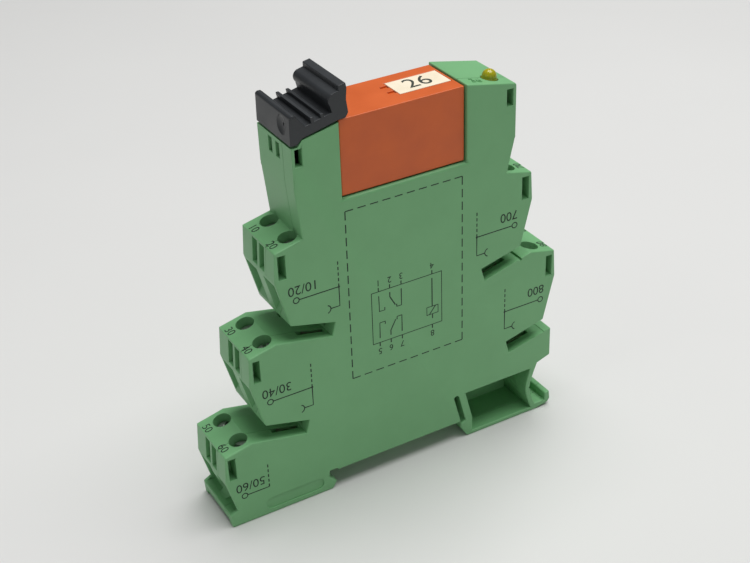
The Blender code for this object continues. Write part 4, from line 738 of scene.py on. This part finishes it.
def arc(x, z, radius, start=0.0, end=2 * math.pi):
    """Points along an arc, closed when it goes all the way round."""
    whole = end - start >= 2 * math.pi
    steps = range(RING_STEPS if whole else RING_STEPS + 1)
    turn = [start + (end - start) * step / RING_STEPS for step in steps]
    points = [(x + radius * math.cos(angle), z + radius * math.sin(angle)) for angle in turn]
    return points + points[:1] if whole else points


def number(text, name, size, place, across, upward, finish, body="base",
           thickness=TEXT_THICKNESS):
    """A number whose text runs along across, with its top towards upward."""
    bpy.ops.object.select_all(action="DESELECT")
    bpy.ops.object.text_add()
    label = bpy.context.object
    label.data.body = text
    label.data.size = size * MM
    label.data.align_x = "CENTER"
    label.data.align_y = "CENTER"
    label.data.extrude = thickness
    select_only(label)
    bpy.ops.object.convert(target="MESH")
    label = bpy.context.object
    label.name = name
    across, upward = Vector(across).normalized(), Vector(upward).normalized()
    normal = across.cross(upward)
    turn = Matrix((across, upward, normal)).transposed().to_4x4()
    label.data.transform(Matrix.Translation(Vector(place) + normal * TEXT_LIFT) @ turn)
    settle(label, finish, body)


def finish_nodes():
    """Put a finish on every solid that stays in view."""
    for name, item in NODES.items():
        for start, finish in NODE_FINISHES.items():
            if name.startswith(start):
                item.data.materials.clear()
                item.data.materials.append(finish)


def make_mouldings():
    """Base halves, lever, relay case, marker card and lamp, with the number beside the lamp."""
    shell = [(LEDGE_ROUND, ledge_edge), (FACE_ROUND, face_edge), (FINE_ROUND, fine_edge)]
    cuts = slot_cuts()
    rounded_copy("rear_shell", "base_rear_moulding", shell, GREEN, cuts=cuts,
                 fills=shell_fills(1))
    rounded_copy("front_cover", "base_front_moulding", shell, GREEN, cuts=cuts,
                 fills=shell_fills(-1))
    ball = (DISH_RADIUS ** 2 + DISH_DEPTH ** 2) / (2 * DISH_DEPTH)
    dish = Matrix.Translation(DISH_PLACE + Vector((DISH_DEPTH - ball, 0.0, 0.0)))
    rounded_copy("eject_lever", "lever_moulding", all_round(LEVER_ROUNDS), BLACK,
                 dishes=[(dish, Vector((2 * ball, 2 * ball, 2 * ball))),
                         (Matrix.Translation(DISH_PLACE), GATE_SIZE)])
    rounded_copy("relay_case", "relay_can", all_round(CASE_ROUNDS), ORANGE)
    rounded_copy("marker_tag", "marker_card", all_round(CARD_ROUNDS), PAPER)
    roof = Vector((math.cos(ROOF_TILT), 0.0, -math.sin(ROOF_TILT)))
    upward = Vector((math.sin(ROOF_TILT), 0.0, math.cos(ROOF_TILT)))
    rounded_copy("indicator_led", "lamp_dome", all_round(LAMP_ROUNDS), LAMP, sharp=LAMP_SHARP,
                 discs=[(axes(roof, upward, LAMP_FOOT), COLLAR_SIZE)])
    number("36", "roof_number", ROOF_TEXT, ROOF_NUMBER, roof, (0.0, 1.0, 0.0), GREEN, thickness=RAISED)


def relay_symbol():
    """Lines of the relay in the diagram: its box and pins, two contacts and the coil."""
    (left, low), (right, high) = BOX_LOW, BOX_HIGH
    lines = [[(left, low), (right, low), (right, high), (left, high), (left, low)]]
    for x in PIN_X:
        lines.append([(x, high), (x, high + PIN_STUB)])
        lines.append([(x, low - PIN_STUB), (x, low)])
    for mirror in (1, -1):
        for path in CONTACT_PATHS:
            lines.append([(x, CONTACT_MIDDLE + mirror * z) for x, z in path])
    return lines + list(COIL_PATHS)


def branch(x, z, side, fork):
    """Lines from a level's ring to the frame, with a fork for the bridge where there is a slot."""
    ring = x + side * (BRANCH_REACH if fork else SHORT_REACH)
    lines = [arc(ring, z, RING_RADIUS), [(x, z), (ring - side * RING_RADIUS, z)]]
    lines += dashes((x, z), (x, z + BRANCH_RISE), SHORT_DASH, SHORT_GAP)
    if fork:
        foot, tip = z - FORK_DROP, x + side * FORK_OUT
        away = math.pi * (side + 1) / 2
        lines.append(arc(x, z, DOT_RADIUS))
        lines.append([(x, z), (x, foot), (tip, foot)])
        lines.append(arc(tip + side * FORK_RADIUS, foot, FORK_RADIUS, away - FORK_SPREAD, away + FORK_SPREAD))
    return lines


def make_prints():
    """Line diagram and plain numbers on the front face, upside down as the base stands."""
    corners = [FRAME_LOW, (FRAME_LOW[0], FRAME_HIGH[1]), FRAME_HIGH, (FRAME_HIGH[0], FRAME_LOW[1])]
    lines = []
    for index, corner in enumerate(corners):
        lines += dashes(corner, corners[(index + 1) % len(corners)], DASH, DASH_GAP)
    lines += relay_symbol()
    for place in BRANCHES:
        lines += branch(*place)
    ink_lines("front_print_lines", lines, INK_WIDTH, INK)
    left, down = (-1.0, 0.0, 0.0), (0.0, 0.0, -1.0)
    for text, x, z in FRONT_NUMBERS:
        number(text, "front_number_" + text.replace("/", "_"), FRONT_TEXT,
               (x * MM, FACE_Y, z * MM), left, down, INK)
    pins = [(x, z) for z in PIN_NUMBER_Z for x in PIN_X]
    for count, (x, z) in enumerate(pins, 1):
        number(str(count), f"schematic_number_{count}", PIN_TEXT,
               (x * MM, FACE_Y, z * MM), left, down, INK)


def make_terminal_numbers():
    """Plain numbers between each screw hole and the outer edge; a coil level has the same one twice."""
    count = NUMBER_STEP
    for side, corner, inward, _ in levels():
        for sign, row in ((1, "rear"), (-1, "front")):
            place = corner + inward * LEVEL_TEXT_IN + Vector((0.0, sign * TERMINAL_Y, 0.0))
            number(str(count), f"top_number_{count}_{row}", LEVEL_TEXT, place, (0.0, side, 0.0), inward, INK)
            count += NUMBER_STEP if side < 0 or sign < 0 else 0


def make_tag_number():
    """Plain number on the relay's marker card."""
    low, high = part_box("marker_tag")
    middle = (low + high) / 2
    number("26", "marker_number", TAG_TEXT, (middle.x, middle.y, high.z), (1.0, 0.0, 0.0), (0.0, 1.0, 0.0),
           LABEL_INK, "relay")


def make_screws():
    """Terminal screws, left by the driver at different angles."""
    turns = iter(SCREW_TURNS)
    for name, (_, corner, inward, upward) in zip(LEVEL_NAMES, levels()):
        for sign, row in ((-1, "front"), (1, "rear")):
            head = corner + inward * CORNER_TO_SCREW + Vector((0.0, sign * TERMINAL_Y, 0.0))
            place = Matrix.Translation(head)
            turn = place @ Matrix.Rotation(math.radians(next(turns)), 4, upward) @ place.inverted()
            rounded_copy(f"screw_{name}_{row}", f"terminal_screw_{name}_{row}", all_round(SCREW_ROUNDS),
                         ZINC, sharp=SCREW_SHARP, turn=turn)


def bowed_leaf(hand):
    """One contact leaf, pinched in at its middle."""
    bpy.ops.object.select_all(action="DESELECT")
    bpy.ops.mesh.primitive_grid_add(x_subdivisions=LEAF_STEPS, y_subdivisions=LEAF_ROWS, size=1.0)
    leaf = bpy.context.object
    for point in leaf.data.vertices:
        along, rise, _ = point.co
        bow = SPRING_PINCH + (1 - SPRING_PINCH) * (2 * along) ** 2
        point.co = (along * SPRING_SIZE.x, hand * bow * SPRING_SIZE.y / 2, rise * SPRING_SIZE.z)
    wall = leaf.modifiers.new("wall", "SOLIDIFY")
    wall.thickness = SPRING_WALL
    wall.offset = 0.0
    bpy.ops.object.modifier_apply(modifier=wall.name)
    return leaf


def make_comb_springs():
    """Pairs of bowed contact leaves standing in the comb slits."""
    for name, end, out, upward in slot_floors():
        for sign, row in ((-1, "front"), (1, "rear")):
            leaves = [bowed_leaf(hand) for hand in (-1, 1)]
            select_only(leaves[0])
            leaves[1].select_set(True)
            bpy.ops.object.join()
            spring = bpy.context.object
            spring.name = f"comb_spring_{name}_{row}"
            place = end + out * (SPRING_START + SPRING_SIZE.x / 2) + Vector((0.0, sign * TERMINAL_Y, 0.0))
            place -= upward * (SPRING_DROP + SPRING_SIZE.z / 2)
            spring.data.transform(axes(out, upward, place))
            bpy.ops.object.mode_set(mode="EDIT")
            bpy.ops.mesh.select_all(action="SELECT")
            bpy.ops.mesh.normals_make_consistent(inside=False)
            bpy.ops.object.mode_set(mode="OBJECT")
            bpy.ops.object.shade_smooth_by_angle(angle=SMOOTH_ANGLE)
            settle(spring, TINNED, "base")


def make_winding():
    """Turns of enamelled wire side by side on a core of the layers below."""
    low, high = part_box("relay_winding")
    middle = (low + high) / 2
    radius = (high.z - low.z) / 2 - WIRE_RADIUS
    turns = math.floor((high.x - low.x - 2 * WIRE_RADIUS) / WIRE_PITCH)
    start = middle.x - turns * WIRE_PITCH / 2
    curve = bpy.data.curves.new("winding_wire", "CURVE")
    curve.dimensions = "3D"
    curve.bevel_depth = WIRE_RADIUS
    curve.bevel_resolution = 1
    curve.use_fill_caps = True
    spline = curve.splines.new("POLY")
    spline.points.add(turns * WIRE_STEPS)
    for index, point in enumerate(spline.points):
        angle = 2 * math.pi * index / WIRE_STEPS
        point.co = (start + WIRE_PITCH * index / WIRE_STEPS, middle.y + radius * math.cos(angle),
                    middle.z + radius * math.sin(angle), 1.0)
    wire = bpy.data.objects.new("winding_wire", curve)
    bed = bpy.data.objects.new("winding_bed", NODES["relay_winding"].data.copy())
    for item in (wire, bed):
        bpy.context.scene.collection.objects.link(item)
    bed.data.transform(Matrix.Translation(middle) @ Matrix.Diagonal((1.0, WIRE_BED, WIRE_BED, 1.0))
                       @ Matrix.Translation(-middle))
    select_only(wire)
    bpy.ops.object.convert(target="MESH")
    bed.select_set(True)
    bpy.ops.object.join()
    coil = bpy.context.object
    coil.name = "coil_winding"
    bpy.ops.object.shade_smooth_by_angle(angle=SMOOTH_ANGLE)
    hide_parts("relay_winding")
    settle(coil, COPPER, NODES["relay_winding"]["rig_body"])


def make_stage():
    """Pale seamless floor, a broad softbox above and weak ones from the left and the front."""
    bpy.ops.object.select_all(action="DESELECT")
    bpy.ops.mesh.primitive_plane_add(size=FLOOR_SIZE, location=(0.0, 0.0, -FLOOR_DROP))
    floor = bpy.context.object
    floor.name = "studio_floor"
    # Studio paper: matt and pale, with a trace of cloud
    finish, tree, shader, place = start_material("studio_paper", FLOOR_ROUGHNESS)
    fibre = add(tree, "ShaderNodeTexNoise", {}, {"Vector": place, "Scale": 1 / FLOOR_CLOUD, "Detail": 3.0})
    tone = add(tree, "ShaderNodeMix", {"data_type": "RGBA"}, {
        "Factor": fibre.outputs["Fac"],
        MIX_FROM: linear(FLOOR_TONES[0]), MIX_TO: linear(FLOOR_TONES[1])})
    tree.links.new(tone.outputs[MIX_RESULT], shader.inputs["Base Color"])
    shader.inputs["Specular IOR Level"].default_value = FLOOR_SHEEN
    floor.data.materials.append(finish)
    floor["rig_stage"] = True
    for name, power, size, place in LIGHTS:
        light = bpy.data.lights.new(name, "AREA")
        light.energy = power
        light.size = size
        item = bpy.data.objects.new(name, light)
        item.location = place
        item.rotation_euler = (CAMERA_TARGET - Vector(place)).to_track_quat("-Z", "Y").to_euler()
        bpy.context.scene.collection.objects.link(item)
    world = bpy.data.worlds.new("studio_sky")
    world.use_nodes = True
    sky = world.node_tree.nodes["Background"]
    sky.inputs["Color"].default_value = linear(SKY_COLOUR)
    sky.inputs["Strength"].default_value = SKY_STRENGTH
    bpy.context.scene.world = world


def make_camera():
    """Camera that looks down on the left front corner, rolled a little."""
    data = bpy.data.cameras.new("camera")
    data.lens = LENS
    data.sensor_width = SENSOR
    data.clip_start = CLIP_START
    data.clip_end = CLIP_END
    camera = bpy.data.objects.new("camera", data)
    bpy.context.scene.collection.objects.link(camera)
    level = math.cos(CAMERA_ELEVATION)
    back = Vector((math.sin(CAMERA_AZIMUTH) * level, -math.cos(CAMERA_AZIMUTH) * level,
                   math.sin(CAMERA_ELEVATION)))
    right = Vector((0.0, 0.0, 1.0)).cross(back).normalized()
    up = back.cross(right)
    across = right * math.cos(CAMERA_ROLL) + up * math.sin(CAMERA_ROLL)
    upright = up * math.cos(CAMERA_ROLL) - right * math.sin(CAMERA_ROLL)
    turn = Matrix((across, upright, back)).transposed().to_4x4()
    camera.matrix_world = Matrix.Translation(CAMERA_TARGET + back * CAMERA_DISTANCE) @ turn
    bpy.context.scene.camera = camera


make_camera()
make_stage()
finish_nodes()
make_mouldings()
make_prints()
make_terminal_numbers()
make_tag_number()
make_screws()
make_comb_springs()
make_winding()
bpy.context.scene.view_settings.view_transform = "Standard"
boxes = {"cad": CAD_BOX, "visual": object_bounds()}
{name: [list(corner) for corner in box] for name, box in boxes.items()}
